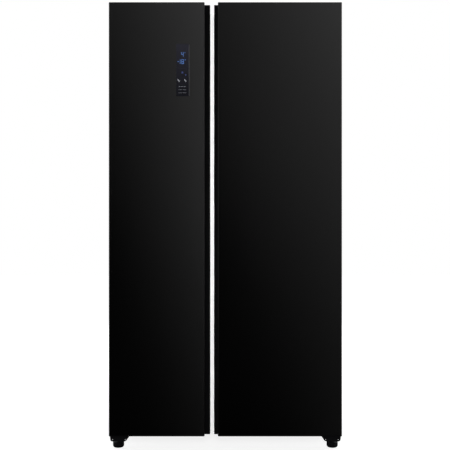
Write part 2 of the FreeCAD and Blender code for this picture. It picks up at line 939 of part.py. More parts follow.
def make_lower_hinges():
    """Steel leaves under the cabinet: a pin up into the door, an apron and a boss for the foot."""
    hinges = []
    thick = cells.hinge_plate
    high = cabinet_base
    low = high - thick
    for side, word in ((-1, "left"), (1, "right")):
        body = new_body(f"lower_hinge_{word}")
        x = hinge_x * side
        edge_x = (half_width - cells.sheet) * side
        far_x = edge_x - cells.lower_leaf_width * side
        nose_y = hinge_y - cells.lower_leaf_nose
        leaf = [
            (edge_x, nose_y),
            (far_x, nose_y),
            (far_x, cabinet_front + cells.lower_leaf_depth),
            (edge_x, cabinet_front + cells.lower_leaf_depth),
        ]
        pad(body, "leaf", "XY", low, high, [leaf])
        pad(body, "pin", "XY", low, high + cells.pin_length, [circle(x, hinge_y, cells.pin_radius)])
        apron_base = low - cells.apron_drop
        taper = cells.apron_taper
        apron = [
            (edge_x, high),
            (edge_x - taper * side, apron_base, thick),
            (far_x + taper * side, apron_base, thick),
            (far_x, high),
        ]
        pad(body, "apron", "XZ", nose_y, nose_y + thick, [apron])
        boss = polygon(foot_x * side, foot_y, cells.foot_boss_radius, 6)
        pad(body, "foot_boss", "XY", cells.foot_height + cells.sheet, high - thick / 2, [boss])
        bore = circle(foot_x * side, foot_y, cells.stud_radius + cells.running_clearance)
        pocket(body, "foot_bore", "XY", cells.foot_height, high, [bore])
        hinges.append(body)
    return node(combine("Compound", "lower_hinges", hinges))


def make_hinge_screws():
    """Hexagon screws of the upper plates and the lower leaves."""
    screws = []
    head, height = cells.screw_head_radius, cells.screw_head_height
    for side in (-1, 1):
        for share in (0.3, 0.8):
            x = (hinge_x + cells.neck_radius - cells.upper_plate_width * share) * side
            y = cabinet_front + cells.upper_plate_depth * 0.6
            base = cabinet_top + cells.hinge_plate
            screws.append((x, y, base))
            x = (half_width - cells.lower_leaf_width * share) * side
            y = cabinet_front + cells.lower_leaf_depth * 0.8
            screws.append((x, y, cabinet_base - cells.hinge_plate - height))
    heads = []
    for x, y, base in screws:
        item = doc.addObject("Part::Prism", "screw_head")
        item.Polygon = 6
        bind(item, "Circumradius", head)
        bind(item, "Height", height)
        heads.append(place(item, x, y, base))
    return node(combine("Compound", "hinge_screws", heads))


wrapper = make_wrapper()
rear_panel = make_rear_panel()
make_rear_spacers()
make_base_pan()
crossmember = make_crossmember()
make_mullion_cover()
freezer_liner = make_liner(
    "freezer_liner",
    inner_left,
    mullion_left,
    inner_left - cells.liner_flange,
    gap_centre,
    rib_list(freezer_shelf_tops, freezer_drawer_top, duct_front),
)
fridge_liner = make_liner(
    "fridge_liner",
    mullion_right,
    inner_right,
    gap_centre,
    inner_right + cells.liner_flange,
    rib_list(fridge_shelf_tops, crisper_top, inner_rear - cells.liner_corner),
)
make_foam(
    [
        crossmember,
        compartment_form("freezer_hollow", inner_left, mullion_left, cells.liner_wall),
        compartment_form("fridge_hollow", mullion_right, inner_right, cells.liner_wall),
        doc.getObject("freezer_liner_flange"),
        doc.getObject("fridge_liner_flange"),
    ]
)
make_base_rails()
make_upper_hinges()
make_hinge_covers()
make_lower_hinges()
make_hinge_screws()

# ---------------------------------------------------------------------------------------------------------
# Doors: a painted skin round the front, hinge side and lip, a dark rail in the finger grip, two end caps,
# foam, a thermoformed liner with its raised ring, a gasket and clear bins

notch_floor = cabinet_top - cells.neck_clearance


class Door:
    """The places that the pieces of one door share; side is -1 for the left door and 1 for the right."""

    def __init__(self, word, side, edge, ledge, left, right):
        self.word = word
        self.side = side
        self.inward = -side
        self.outer = half_width * side
        self.edge = edge
        self.lip = edge - ledge * self.inward
        self.left, self.right = left, right
        self.pin_x = hinge_x * side
        self.lip_back = front + cells.grip_lip
        self.grip_wall = self.lip - cells.grip_undercut * self.inward
        self.grip_floor = front + cells.grip_depth

    def plug(self):
        """The plan of what fits inside the skin, the rail and the liner, with its front corners bevelled."""
        back, inset = door_back - cells.door_liner_wall, cells.door_sheet
        corners = [corner[:2] for corner in self.outline(inset, back, cells.grip_wall)]
        hinge_back, (hinge_x_place, front_y), (lip_x, _) = corners[:3]
        bevel = cells.door_edge_radius - inset
        across = bevel * self.inward
        return [
            hinge_back,
            (hinge_x_place, front_y + bevel),
            (hinge_x_place + across, front_y),
            (lip_x - across, front_y),
            (lip_x, front_y + bevel),
        ] + corners[3:]

    def outline(self, inset, back, rail=0):
        """The door's plan, drawn inset by the skin and, in the grip, by the rail."""
        step, deep = inset * self.inward, rail * self.inward
        edge_radius = cells.door_edge_radius - inset
        return [
            (self.outer + step, back),
            (self.outer + step, front + inset, edge_radius),
            (self.lip - step, front + inset, edge_radius),
            (self.lip - step, self.lip_back - rail),
            (self.grip_wall - deep, self.lip_back - rail, cells.grip_radius + rail),
            (self.grip_wall - deep, self.grip_floor + rail, cells.grip_radius + rail),
            (self.edge - deep, self.grip_floor + rail),
            (self.edge - deep, back),
        ]

    def ring(self, inset):
        """The gasket's outline, inset evenly from its outer edge."""
        hinge = self.outer + (cells.gasket_hinge_inset + inset) * self.inward
        free = self.edge - (cells.gasket_edge_inset + inset) * self.inward
        low = cabinet_base + cells.gasket_base_inset + inset
        high = cabinet_top - cells.gasket_top_inset - inset
        low_x, high_x = span(hinge, free)
        return rectangle(low_x, low, high_x, high)

    def dyke(self, inset, corner=None):
        """The outline of the liner's raised ring, inset evenly from its outer edge."""
        side_inset = cells.dyke_side_inset + inset
        end_inset = cells.dyke_end_inset + inset
        places = (
            self.left + side_inset,
            inner_base + end_inset,
            self.right - side_inset,
            inner_top - end_inset,
        )
        return rectangle(*places) if corner is None else bevelled(*places, corner)


freezer_door = Door(
    "freezer", -1, gap_centre - cells.door_gap / 2, cells.freezer_ledge, inner_left, mullion_left
)
fridge_door = Door(
    "fridge", 1, gap_centre + cells.door_gap / 2, cells.fridge_ledge, mullion_right, inner_right
)
panel_right = freezer_door.lip - cells.panel_edge_inset
panel_left = panel_right - cells.panel_width
panel_high = door_top - cells.panel_top_inset
panel_low = panel_high - cells.panel_height


def panel_outline(grow, radius):
    return rectangle(panel_left - grow, panel_low - grow, panel_right + grow, panel_high + grow, radius)


def hinge_notch(door):
    """The corner of a door that the upper hinge's neck swings in, seen from above."""
    return rectangle(
        door.outer,
        hinge_y - cells.hinge_notch_front,
        door.pin_x + cells.hinge_notch_side * door.inward,
        door_back,
    )


def make_door_skin(door):
    """Painted steel sheet, folded round the front, the hinge side and the lip of the grip."""
    body = new_body(f"{door.word}_door_skin")
    skin, step = cells.door_sheet, cells.door_sheet * door.inward
    low, high = door_base + cells.cap_flange, door_top - cells.cap_flange
    radius = cells.door_edge_radius
    sheet_plan = [
        (door.outer, door_back),
        (door.outer, front, radius),
        (door.lip, front, radius),
        (door.lip, door.lip_back),
        (door.lip - step, door.lip_back),
        (door.lip - step, front + skin, radius - skin),
        (door.outer + step, front + skin, radius - skin),
        (door.outer + step, door_back),
    ]
    pad(body, "folded_sheet", "XY", low, high, [sheet_plan])
    if door is freezer_door:
        window = panel_outline(cells.panel_clearance, cells.panel_radius)
        pocket(body, "panel_window", "XZ", front, front + skin, [window])
    pocket(body, "hinge_notch", "XY", notch_floor, high, [hinge_notch(door)])
    return node(body)


def make_grip_rail(door):
    """Extruded dark rail that lines the finger grip from behind the lip to the door's inner edge."""
    body = new_body(f"{door.word}_door_grip")
    wall = cells.grip_wall
    low, high = door_base + cells.cap_flange, door_top - cells.cap_flange
    face = door.outline(cells.door_sheet, door_back)[3:]
    lining = door.outline(cells.door_sheet, door_back, wall)[3:]
    pad(body, "extrusion", "XY", low, high, [face + lining[::-1]])
    return node(body)


def make_end_caps(door):
    """Moulded caps that close the door's ends and hold the hinge bores."""
    caps = []
    flange = cells.cap_flange
    plug = door.plug()
    bore = circle(door.pin_x, hinge_y, cells.pin_radius + cells.running_clearance)

    body = new_body(f"{door.word}_door_top_cap")
    pad(body, "flange", "XY", door_top - flange, door_top, [door.outline(0, door_back)])
    pad(body, "plug", "XY", door_top - cells.cap_depth, door_top - flange, [plug])
    pocket(body, "hinge_notch", "XY", notch_floor, door_top, [hinge_notch(door)])
    bore_end = cabinet_top - cells.pin_length - cells.bore_end_clearance
    pocket(body, "hinge_bore", "XY", bore_end, notch_floor, [bore])
    caps.append(body)

    body = new_body(f"{door.word}_door_bottom_cap")
    pad(body, "flange", "XY", door_base, door_base + flange, [door.outline(0, door_back)])
    pad(body, "plug", "XY", door_base + flange, door_base + cells.cap_depth, [plug])
    bore_end = cabinet_base + cells.pin_length + cells.bore_end_clearance
    pocket(body, "hinge_bore", "XY", door_base, bore_end, [bore])
    caps.append(body)
    return node(combine("Compound", f"{door.word}_door_end_caps", caps))


def make_door_foam(door, tools):
    """Foam between the skin, the rail, the caps and the liner."""
    body = new_body(f"{door.word}_door_foam_block")
    pad(body, "block", "XY", door_base + cells.cap_depth, door_top - cells.cap_depth, [door.plug()])
    return node(cut(f"{door.word}_door_foam", body, tools))


def bin_bases():
    return [cells.bin_base + cells.bin_pitch * number for number in range(SIZES["bins_per_door"])]


def make_door_liner(door):
    """Thermoformed back of the door: a flat sheet, a hollow raised ring and the lugs that carry bins."""
    body = new_body(f"{door.word}_door_liner")
    wall, deep = cells.door_liner_wall, cells.dyke_depth
    low_x, high_x = span(
        door.outer + cells.door_sheet * door.inward, door.edge - cells.grip_wall * door.inward
    )
    low, high = door_base + cells.cap_flange, door_top - cells.cap_flange
    pad(body, "sheet", "XZ", door_back - wall, door_back, [rectangle(low_x, low, high_x, high)])
    corner = cells.dyke_corner
    ring = [door.dyke(Size.of(0), corner), door.dyke(cells.dyke_width)]
    pad(body, "ring", "XZ", door_back, door_back + deep, ring)

    def crest(edge):
        return lies_at(edge, y=door_back + deep)

    round_edges(body, "ring_crest", cells.dyke_edge_chamfer, crest, "Chamfer")
    hollow = [door.dyke(wall, corner - wall * BEVEL_GROWTH), door.dyke(cells.dyke_width - wall)]
    pocket(body, "ring_hollow", "XZ", door_back - wall, door_back + deep - wall, hollow)
    pocket(body, "hinge_notch", "XY", notch_floor, high, [hinge_notch(door)])
    inside = cells.dyke_side_inset + cells.dyke_width
    lugs = []
    for wall_x, side in ((door.left + inside, 1), (door.right - inside, -1)):
        low_x, high_x = span(wall_x - wall / 2 * side, wall_x + cells.bin_lug * side)
        for base in bin_bases():
            lugs.append(rectangle(low_x, base - cells.bin_lug_height, high_x, base))
    pad(body, "bin_lugs", "XZ", door_back - wall / 2, door_back + cells.bin_lug_depth, lugs)
    return node(body)


def make_gasket(door):
    """Soft magnetic gasket: a base in the liner's groove, a narrow fold and the magnet's tube."""
    body = new_body(f"{door.word}_door_gasket")
    wide = cells.gasket_width
    fold_start = door_back + cells.gasket_base
    head_start = fold_start + cells.gasket_fold
    head_end = cabinet_front - cells.sealing_clearance
    layers = (
        ("base", door_back, fold_start, 0),
        ("fold", fold_start, head_start, wide / 4),
        ("magnet_tube", head_start, head_end, wide / 12),
    )
    for name, low, high, inset in layers:
        pad(body, name, "XZ", low, high, [door.ring(Size.of(inset)), door.ring(wide - inset)])
    return node(body)


def bin_plan(left, right, near, far, corner):
    """A bin seen from above: square at the back, bevelled at the two front corners."""
    return [
        (left, near),
        (right, near),
        (right, far - corner),
        (right - corner, far),
        (left + corner, far),
        (left, far - corner),
    ]


def make_bins(door):
    """Clear bins that stand on the lugs between the sides of the liner's ring."""
    bins = []
    wall, corner = cells.bin_wall, cells.bin_corner
    inset = cells.dyke_side_inset + cells.dyke_width + cells.bin_side_clearance
    left, right = door.left + inset, door.right - inset
    far = door_back + cells.bin_depth
    for number, base in enumerate(bin_bases(), start=1):
        body = new_body(f"{door.word}_door_bin_{number}")
        plan = bin_plan(left, right, door_back, far, corner)
        pad(body, "bin", "XY", base, base + cells.bin_height, [plan])
        inner_corner = corner - wall * 0.6
        hollow = bin_plan(left + wall, right - wall, door_back + wall, far - wall, inner_corner)
        pocket(body, "hollow", "XY", base + wall, base + cells.bin_height, [hollow])
        bins.append(body)
    return node(combine("Compound", f"{door.word}_door_bins", bins))


def make_control_panel():
    """Flush display lens in the freezer door, and the housing behind it."""
    lens = new_body("control_panel_lens")
    lens_front = front + cells.panel_recess
    lens_back = lens_front + cells.panel_lens
    face = panel_outline(Size.of(0), cells.panel_radius - cells.panel_clearance)
    pad(lens, "lens", "XZ", lens_front, lens_back, [face])
    node(lens)
    housing = new_body("control_panel_housing")
    flange = cells.panel_flange
    start = front + cells.door_sheet
    end = lens_back + cells.duct_wall / 3
    outside = panel_outline(flange, None)
    pad(housing, "flange", "XZ", start, end, [outside])
    pad(housing, "box", "XZ", end, lens_back + cells.panel_housing_depth, [panel_outline(-flange, None)])
    window = panel_outline(cells.panel_clearance, cells.panel_radius)
    pocket(housing, "window", "XZ", start, lens_back, [window])
    node(housing)
    gap = cells.panel_clearance
    space = box(
        "panel_space",
        (panel_left - gap, panel_right + gap),
        (start, end),
        (panel_low - gap, panel_high + gap),
    )
    return [housing, space]


panel_tools = make_control_panel()
for door in (freezer_door, fridge_door):
    make_door_skin(door)
    make_grip_rail(door)
    make_end_caps(door)
    make_door_foam(door, panel_tools if door is freezer_door else [])
    make_door_liner(door)
    make_gasket(door)
    make_bins(door)

# ---------------------------------------------------------------------------------------------------------
# Inside the compartments

freezer_centre = (inner_left + mullion_left) / 2
fridge_centre = (mullion_right + inner_right) / 2
freezer_shelf_back = duct_front - cells.shelf_rear_gap
fridge_shelf_back = inner_rear - cells.fridge_duct_depth - cells.shelf_rear_gap


def shelf_set(word, left, right, tops, back):
    """Glass plates on the liner's ribs, and the moulded trims along their front and rear edges."""
    glass, trims = [], []
    gap, wall = cells.shelf_side_clearance, cells.shelf_trim_wall
    deep, tall, thick = cells.shelf_trim_depth, cells.shelf_trim_height, cells.shelf_glass
    low_x, high_x = left + gap, right - gap
    for number, top in enumerate(tops, start=1):
        plate = box(
            f"{word}_glass_{number}",
            (low_x, high_x),
            (shelf_start + wall, back - wall),
            (top - thick, top),
        )
        glass.append(plate)
        body = new_body(f"{word}_trim_{number}")
        inside = cells.rib_depth - gap + wall
        front_profile = [
            (shelf_start, top - tall + wall),
            (shelf_start, top),
            (shelf_start + wall, top + wall),
            (shelf_start + deep, top + wall),
            (shelf_start + deep, top),
            (shelf_start + wall, top),
            (shelf_start + wall, top - thick),
            (shelf_start + deep, top - thick),
            (shelf_start + deep, top - tall + wall),
        ]
        pad(body, "front_trim", "YZ", low_x + inside, high_x - inside, [front_profile])
        rear_profile = [
            (back, top - thick - wall),
            (back, top + wall),
            (back - deep, top + wall),
            (back - deep, top),
            (back - wall, top),
            (back - wall, top - thick),
            (back - deep, top - thick),
            (back - deep, top - thick - wall),
        ]
        pad(body, "rear_trim", "YZ", low_x + inside, high_x - inside, [rear_profile])
        trims.append(body)
    return glass, trims


def make_shelves():
    freezer_glass, freezer_trims = shelf_set(
        "freezer", inner_left, mullion_left, freezer_shelf_tops, freezer_shelf_back
    )
    fridge_glass, fridge_trims = shelf_set(
        "fridge", mullion_right, inner_right, fridge_shelf_tops, fridge_shelf_back
    )
    node(combine("Compound", "shelf_glass", freezer_glass + fridge_glass))
    node(combine("Compound", "shelf_trims", freezer_trims + fridge_trims))


def make_drawer(label, left, right, base, height, back):
    """Clear drawer with a thick front and a pull lip, hung by its side flanges on the liner's ribs.

    The flanges start behind the front, so that they pass the door's gasket while the door stands open.
    """
    body = new_body(label)
    side_gap, wall, flange = cells.drawer_side_clearance, cells.drawer_wall, cells.drawer_flange
    radius, face = cells.drawer_radius, cells.drawer_front_thickness
    low_x, high_x = left + side_gap, right - side_gap
    top = base + height
    tub = [
        (low_x, drawer_start, None),
        (high_x, drawer_start, None),
        (high_x, back, radius),
        (low_x, back, radius),
    ]
    pad(body, "tub", "XY", base, top, [tub])
    flange_start = drawer_start + cells.drawer_flange_setback
    plate = rectangle(low_x - flange, flange_start, high_x + flange, back - radius)
    pad(body, "flange", "XY", top - wall, top, [plate])
    lip_half = (high_x - low_x) / 4
    centre = (low_x + high_x) / 2
    lip_profile = rectangle(
        centre - lip_half, drawer_start - cells.drawer_lip, centre + lip_half, drawer_start
    )
    pad(body, "pull_lip", "XY", top - cells.drawer_grip_height, top, [lip_profile])
    grip = rectangle(
        centre - lip_half + wall,
        drawer_start - cells.drawer_lip + wall,
        centre + lip_half - wall,
        drawer_start + face / 2,
    )
    pocket(body, "pull_recess", "XY", top - cells.drawer_grip_height, top - wall, [grip])
    hollow = [
        (low_x + wall, drawer_start + face),
        (high_x - wall, drawer_start + face),
        (high_x - wall, back - wall, radius - wall),
        (low_x + wall, back - wall, radius - wall),
    ]
    pocket(body, "hollow", "XY", base + wall, top, [hollow])
    return node(body)


def make_drawers():
    lower = (lower_drawer_base, cells.lower_drawer_height, hump_front - cells.drawer_rear_gap)
    freezer_back = duct_front - cells.drawer_rear_gap
    fridge_back = inner_rear - cells.fridge_duct_depth - cells.drawer_rear_gap
    base = upper_drawer_base
    freezer_height, crisper_height = freezer_drawer_top - base, crisper_top - base
    make_drawer("freezer_drawer_lower", inner_left, mullion_left, *lower)
    make_drawer("freezer_drawer_upper", inner_left, mullion_left, base, freezer_height, freezer_back)
    make_drawer("crisper_lower", mullion_right, inner_right, *lower)
    make_drawer("crisper_upper", mullion_right, inner_right, base, crisper_height, fridge_back)


ice_left = freezer_centre - cells.ice_frame_width / 2
ice_right = freezer_centre + cells.ice_frame_width / 2
ice_front = cabinet_front + cells.ice_frame_setback
ice_back = duct_front - cells.ice_frame_rear_gap
ice_base = cells.freezer_shelf_3
ice_top = ice_base + cells.ice_frame_height
ice_axle_z = ice_top - cells.ice_axle_drop


def make_ice_maker():
    """Open box on a freezer shelf: a twist tray turns on two journals above a pull-out ice bin."""
    wall, gap = cells.ice_frame_wall, cells.slide_clearance
    bin_top = ice_base + wall + gap + cells.ice_bin_height
    frame = new_body("ice_maker_frame")
    shell = rectangle(ice_left, ice_front, ice_right, ice_back)
    pad(frame, "shell", "XY", ice_base, ice_top, [shell])
    cavity = rectangle(ice_left + wall, ice_front + wall, ice_right - wall, ice_back - wall)
    pocket(frame, "cavity", "XY", ice_base + wall, ice_top, [cavity])
    mouth = rectangle(ice_left + wall, ice_base + wall, ice_right - wall, bin_top + gap)
    pocket(frame, "bin_mouth", "XZ", ice_front, ice_front + wall, [mouth])
    bore = circle(freezer_centre, ice_axle_z, cells.ice_axle_radius + cells.running_clearance)
    pocket(frame, "axle_bores", "XZ", ice_front, ice_back, [bore])
    node(frame)

    tray = new_body("ice_tray")
    half, tall = cells.ice_tray_width / 2, cells.ice_tray_height / 2
    low_y, high_y = ice_front + wall * 2, ice_back - wall * 2
    block = rectangle(freezer_centre - half, ice_axle_z - tall, freezer_centre + half, ice_axle_z + tall)
    pad(tray, "block", "XZ", low_y, high_y, [block])
    columns, rows = SIZES["ice_cell_columns"], SIZES["ice_cell_rows"]
    pitch_x = cells.ice_tray_width / cells.ice_cell_columns
    pitch_y = (high_y - low_y) / cells.ice_cell_rows
    rim = cells.ice_cell_wall / 2
    cells_plan = [
        rectangle(
            freezer_centre - half + pitch_x * column + rim,
            low_y + pitch_y * row + rim,
            freezer_centre - half + pitch_x * (column + 1) - rim,
            low_y + pitch_y * (row + 1) - rim,
        )
        for column in range(columns)
        for row in range(rows)
    ]
    floor_z = ice_axle_z - tall + cells.ice_cell_wall * 2
    pocket(tray, "ice_cells", "XY", floor_z, ice_axle_z + tall, cells_plan)
    journal = circle(freezer_centre, ice_axle_z, cells.ice_axle_radius)
    pad(tray, "front_journal", "XZ", ice_front - gap, low_y, [journal])
    pad(tray, "rear_journal", "XZ", high_y, ice_back, [journal])
    knob = polygon(freezer_centre, ice_axle_z, cells.ice_knob_radius, 12)
    pad(tray, "knob", "XZ", ice_front - cells.ice_knob_depth, ice_front - gap, [knob])
    node(tray)

    ice_bin = new_body("ice_bin")
    low_x, high_x = ice_left + wall + cells.sheet, ice_right - wall - cells.sheet
    base, back = ice_base + wall + gap, ice_back - wall - cells.sheet
    outline = rectangle(low_x, ice_front, high_x, back)
    pad(ice_bin, "tub", "XY", base, bin_top, [outline])
    hollow = rectangle(low_x + wall, ice_front + wall, high_x - wall, back - wall)
    pocket(ice_bin, "hollow", "XY", base + wall, bin_top, [hollow])
    return node(ice_bin)


def make_fan(label, axis_rotation, x, y, z):
    """Axial fan wheel: a hub and a circle of cambered blades set at a pitch."""
    body = new_body(label)
    deep, hub, tip = cells.fan_depth, cells.fan_hub_radius, cells.fan_radius
    zero = Size.of(0)
    pad(body, "hub", "XY", -(deep / 2), deep / 2, [polygon(zero, zero, hub, 20)])
    half, thin, camber = cells.fan_chord / 2, cells.fan_blade_thickness, cells.fan_camber
    fold = half / 3
    profile = [
        (-half, -camber),
        (-fold, camber),
        (fold, camber),
        (half, -camber),
        (half, thin - camber),
        (fold, thin + camber),
        (-fold, thin + camber),
        (-half, thin - camber),
    ]
    section = new_sketch(body, "blade_section", "YZ", (0, 0, hub * 0.8), loops=[profile])
    section.AttachmentOffset = FreeCAD.Placement(
        Vector(0, 0, (hub * 0.8).number), FreeCAD.Rotation(Vector(0, 0, 1), cells.fan_pitch_angle.number)
    )
    bind(section, "AttachmentOffset.Base.z", hub * 0.8)
    bind(section, "AttachmentOffset.Rotation.Angle", cells.fan_pitch_angle)
    blade = body.newObject("PartDesign::Pad", "blade")
    blade.Profile = section
    bind(blade, "Length", tip - hub * 0.8)
    doc.recompute()
    blades = body.newObject("PartDesign::PolarPattern", "blades")
    blades.Originals = [blade]
    blades.Axis = (origin_part(body, "Z_Axis"), [""])
    blades.Angle = 360
    bind(blades, "Occurrences", cells.fan_blades)
    body.Tip = blades
    shaft_bore = circle(zero, zero, cells.fan_shaft_radius + cells.running_clearance)
    pocket(body, "shaft_bore", "XY", -(deep / 2), deep / 2, [shaft_bore])
    body.Placement = FreeCAD.Placement(Vector(), axis_rotation)
    return node(place(body, x, y, z))


def make_fan_frame(label, axis_rotation, x, y, z):
    """Square fan frame with a round mouth, a motor held on struts, and its shaft."""
    body = new_body(label)
    deep, hub = cells.fan_depth, cells.fan_hub_radius
    mouth = cells.fan_radius + cells.fan_tip_clearance
    half = mouth + cells.fan_frame_wall
    start = deep / 2 + cells.fan_motor_gap
    end = start + cells.fan_strut
    zero = Size.of(0)
    plate = bevelled(-half, -half, half, half, cells.fan_frame_wall)
    pad(body, "frame", "XY", -(deep / 2), end, [plate, polygon(zero, zero, mouth, 24)])
    pad(body, "motor", "XY", start, end + cells.fan_frame_wall, [polygon(zero, zero, hub, 8)])
    strut = cells.fan_plate
    reach = mouth + cells.fan_frame_wall / 2
    bars = [
        [rectangle(-reach, -strut / 2, -(hub * 0.9), strut / 2)],
        [rectangle(hub * 0.9, -strut / 2, reach, strut / 2)],
        [rectangle(-strut / 2, hub * 0.9, strut / 2, reach)],
    ]
    for number, bar in enumerate(bars, start=1):
        pad(body, f"strut_{number}", "XY", start, end, bar)
    shaft = circle(zero, zero, cells.fan_shaft_radius)
    pad(body, "shaft", "XY", -(deep / 2), start, [shaft])
    body.Placement = FreeCAD.Placement(Vector(), axis_rotation)
    return place(body, x, y, z)


FACING_FRONT = FreeCAD.Rotation(Vector(1, 0, 0), -90)
FACING_RIGHT = FreeCAD.Rotation(Vector(0, 1, 0), 90)


def make_evaporator():
    """Finned evaporator that hangs behind the freezer's duct cover."""
    body = new_body("evaporator")
    low_x = freezer_centre - cells.evaporator_width / 2
    high_x = freezer_centre + cells.evaporator_width / 2
    low = hump_top + cells.evaporator_base_gap
    high = low + cells.evaporator_height
    back = inner_rear - cells.shelf_rear_gap
    near = back - cells.evaporator_depth
    edge, thick = cells.fin_edge, cells.fin_thickness
    core = rectangle(near + edge, low + edge, back - edge, high - edge)
    pad(body, "tube_pack", "YZ", low_x, high_x, [core])
    fin = pad(body, "fin", "YZ", low_x, low_x + thick, [rectangle(near, low, back, high)])
    line_up(body, "fins", fin, "X_Axis", cells.evaporator_width - thick, cells.evaporator_fins)
    foot = rectangle(low_x + edge, low, low_x + edge * 3, high)
    far_foot = rectangle(high_x - edge * 3, low, high_x - edge, high)
    pad(body, "brackets", "XZ", back - edge, inner_rear, [foot, far_foot])
    return node(body)


def make_freezer_duct_cover():
    """Moulded cover that makes the air duct at the back of the freezer."""
    body = new_body("freezer_duct_cover")
    gap, wall = cells.duct_clearance, cells.duct_wall
    low_x, high_x = inner_left + gap, mullion_left - gap
    low, high = hump_top, inner_top - cells.liner_corner
    tray = [
        (low_x, inner_rear),
        (low_x, duct_front, wall * 2),
        (high_x, duct_front, wall * 2),
        (high_x, inner_rear),
        (high_x - wall, inner_rear),
        (high_x - wall, duct_front + wall),
        (low_x + wall, duct_front + wall),
        (low_x + wall, inner_rear),
    ]
    pad(body, "channel", "XY", low, high, [tray])
    half = cells.louvre_width * 1.5
    slot_z = low + cells.louvre_pitch * 2
    slot = rectangle(freezer_centre - half, slot_z, freezer_centre + half, slot_z + cells.louvre_height)
    first = pocket(body, "return_slot", "XZ", duct_front, duct_front + wall, [slot])
    line_up(body, "return_slots", first, "Z_Axis", cells.louvre_pitch * 4, 5)
    slot_z = high - cells.louvre_pitch * 6
    slot = rectangle(freezer_centre - half, slot_z, freezer_centre + half, slot_z + cells.louvre_height)
    first = pocket(body, "supply_slot", "XZ", duct_front, duct_front + wall, [slot])
    line_up(body, "supply_slots", first, "Z_Axis", cells.louvre_pitch * 4, 5)
    return node(body)


def make_fridge_duct_cover():
    """Shallow cold-air column up the back of the fresh-food compartment."""
    body = new_body("fridge_duct_cover")
    half, wall = cells.louvre_width * 2, cells.duct_wall
    near = inner_rear - cells.fridge_duct_depth
    low, high = hump_top, inner_top - cells.liner_corner
    left, right = fridge_centre - half, fridge_centre + half
    column = [
        (left, inner_rear),
        (left, near, wall * 2),
        (right, near, wall * 2),
        (right, inner_rear),
        (right - wall, inner_rear),
        (right - wall, near + wall),
        (left + wall, near + wall),
        (left + wall, inner_rear),
    ]
    pad(body, "column", "XY", low, high, [column])
    slot_z = cells.fridge_shelf_1 + cells.louvre_pitch * 6
    half = cells.louvre_width / 2
    slot = rectangle(fridge_centre - half, slot_z, fridge_centre + half, slot_z + cells.louvre_height)
    first = pocket(body, "slot", "XZ", near, near + wall, [slot])
    line_up(body, "slots", first, "Z_Axis", high - slot_z - cells.louvre_pitch * 3, 4)
    return node(body)


def make_lamps():
    """Flat lamps under the compartments' ceilings."""
    lamps = []
    for word, centre in (("freezer", freezer_centre), ("fridge", fridge_centre)):
        body = new_body(f"{word}_lamp")
        half = cells.lamp_width / 2
        low_y = cabinet_front + cells.shelf_front
        outline = rectangle(centre - half, low_y, centre + half, low_y + cells.lamp_depth)
        pad(body, "lens", "XY", inner_top - cells.lamp_height, inner_top, [outline])
        lamps.append(body)
    return node(combine("Compound", "compartment_lamps", lamps))


make_shelves()
make_drawers()
make_ice_maker()
make_evaporator()
make_freezer_duct_cover()
evaporator_fan_z = (
    hump_top
    + cells.evaporator_base_gap
    + cells.evaporator_height
    + cells.fan_radius
    + cells.fan_tip_clearance
    + cells.fan_frame_wall * 2
)
evaporator_fan_y = duct_front + cells.duct_wall + cells.fan_depth / 2
make_fan("evaporator_fan_blades", FACING_FRONT, freezer_centre, evaporator_fan_y, evaporator_fan_z)
evaporator_fan_frame = make_fan_frame(
    "evaporator_fan_frame", FACING_FRONT, freezer_centre, evaporator_fan_y, evaporator_fan_z
)
make_fridge_duct_cover()
make_lamps()

# ---------------------------------------------------------------------------------------------------------
# Machine room, feet and rollers

tray_top = cells.tray_floor_gap + cells.frame_sheet
machine_y = (machine_front + cabinet_rear) / 2
rail_inside = half_width - cells.roller_side_inset - cells.rail_width / 2


def make_machine_tray():
    """Folded steel tray between the rails that carries the compressor and the condenser."""
    body = new_body("machine_tray")
    thick = cells.frame_sheet
    low = cells.tray_floor_gap
    profile = [
        (-rail_inside, cabinet_base),
        (-rail_inside, low, thick * 2),
        (rail_inside, low, thick * 2),
        (rail_inside, cabinet_base),
        (rail_inside - thick, cabinet_base),
        (rail_inside - thick, low + thick, thick),
        (-rail_inside + thick, low + thick, thick),
        (-rail_inside + thick, cabinet_base),
    ]
    pad(body, "folded_tray", "XZ", machine_front, cabinet_rear - cells.sheet, [profile])
    return node(body)


def make_compressor():
    """Welded compressor shell with a domed top and bottom, on a foot plate; returns its grommets."""
    radius, dome = cells.compressor_radius, cells.compressor_dome
    grommet, foot = cells.grommet_height, cells.compressor_foot
    x = -cells.compressor_offset
    base = tray_top + grommet
    body = new_body("compressor")
    tall = cells.compressor_height
    levels = ((0, dome / 2), (dome / 4, dome / 4), (dome, Size.of(0)))
    for number, (depth, step) in enumerate(levels, start=1):
        shell = polygon(x, machine_y, radius - step, 16)
        pad(body, f"shell_{number}", "XY", base + foot / 2 + depth, base + tall - depth, [shell])
    half = radius * 0.95
    plate = rectangle(x - half * 1.2, machine_y - half, x + half * 1.2, machine_y + half)
    pad(body, "foot_plate", "XY", base, base + foot, [plate])
    cap_x = x + radius * 0.9
    cover = rectangle(machine_y - dome, base + dome, machine_y + dome, base + dome * 3)
    pad(body, "terminal_cover", "YZ", cap_x, x + radius + dome, [cover])
    node(body)
    grommets = []
    for across in (-1, 1):
        for along in (-1, 1):
            item = doc.addObject("Part::Prism", "grommet")
            item.Polygon = 8
            bind(item, "Circumradius", cells.grommet_radius)
            bind(item, "Height", grommet)
            place(item, x + half * across, machine_y + half * 0.75 * along, tray_top)
            grommets.append(item)
    return grommets


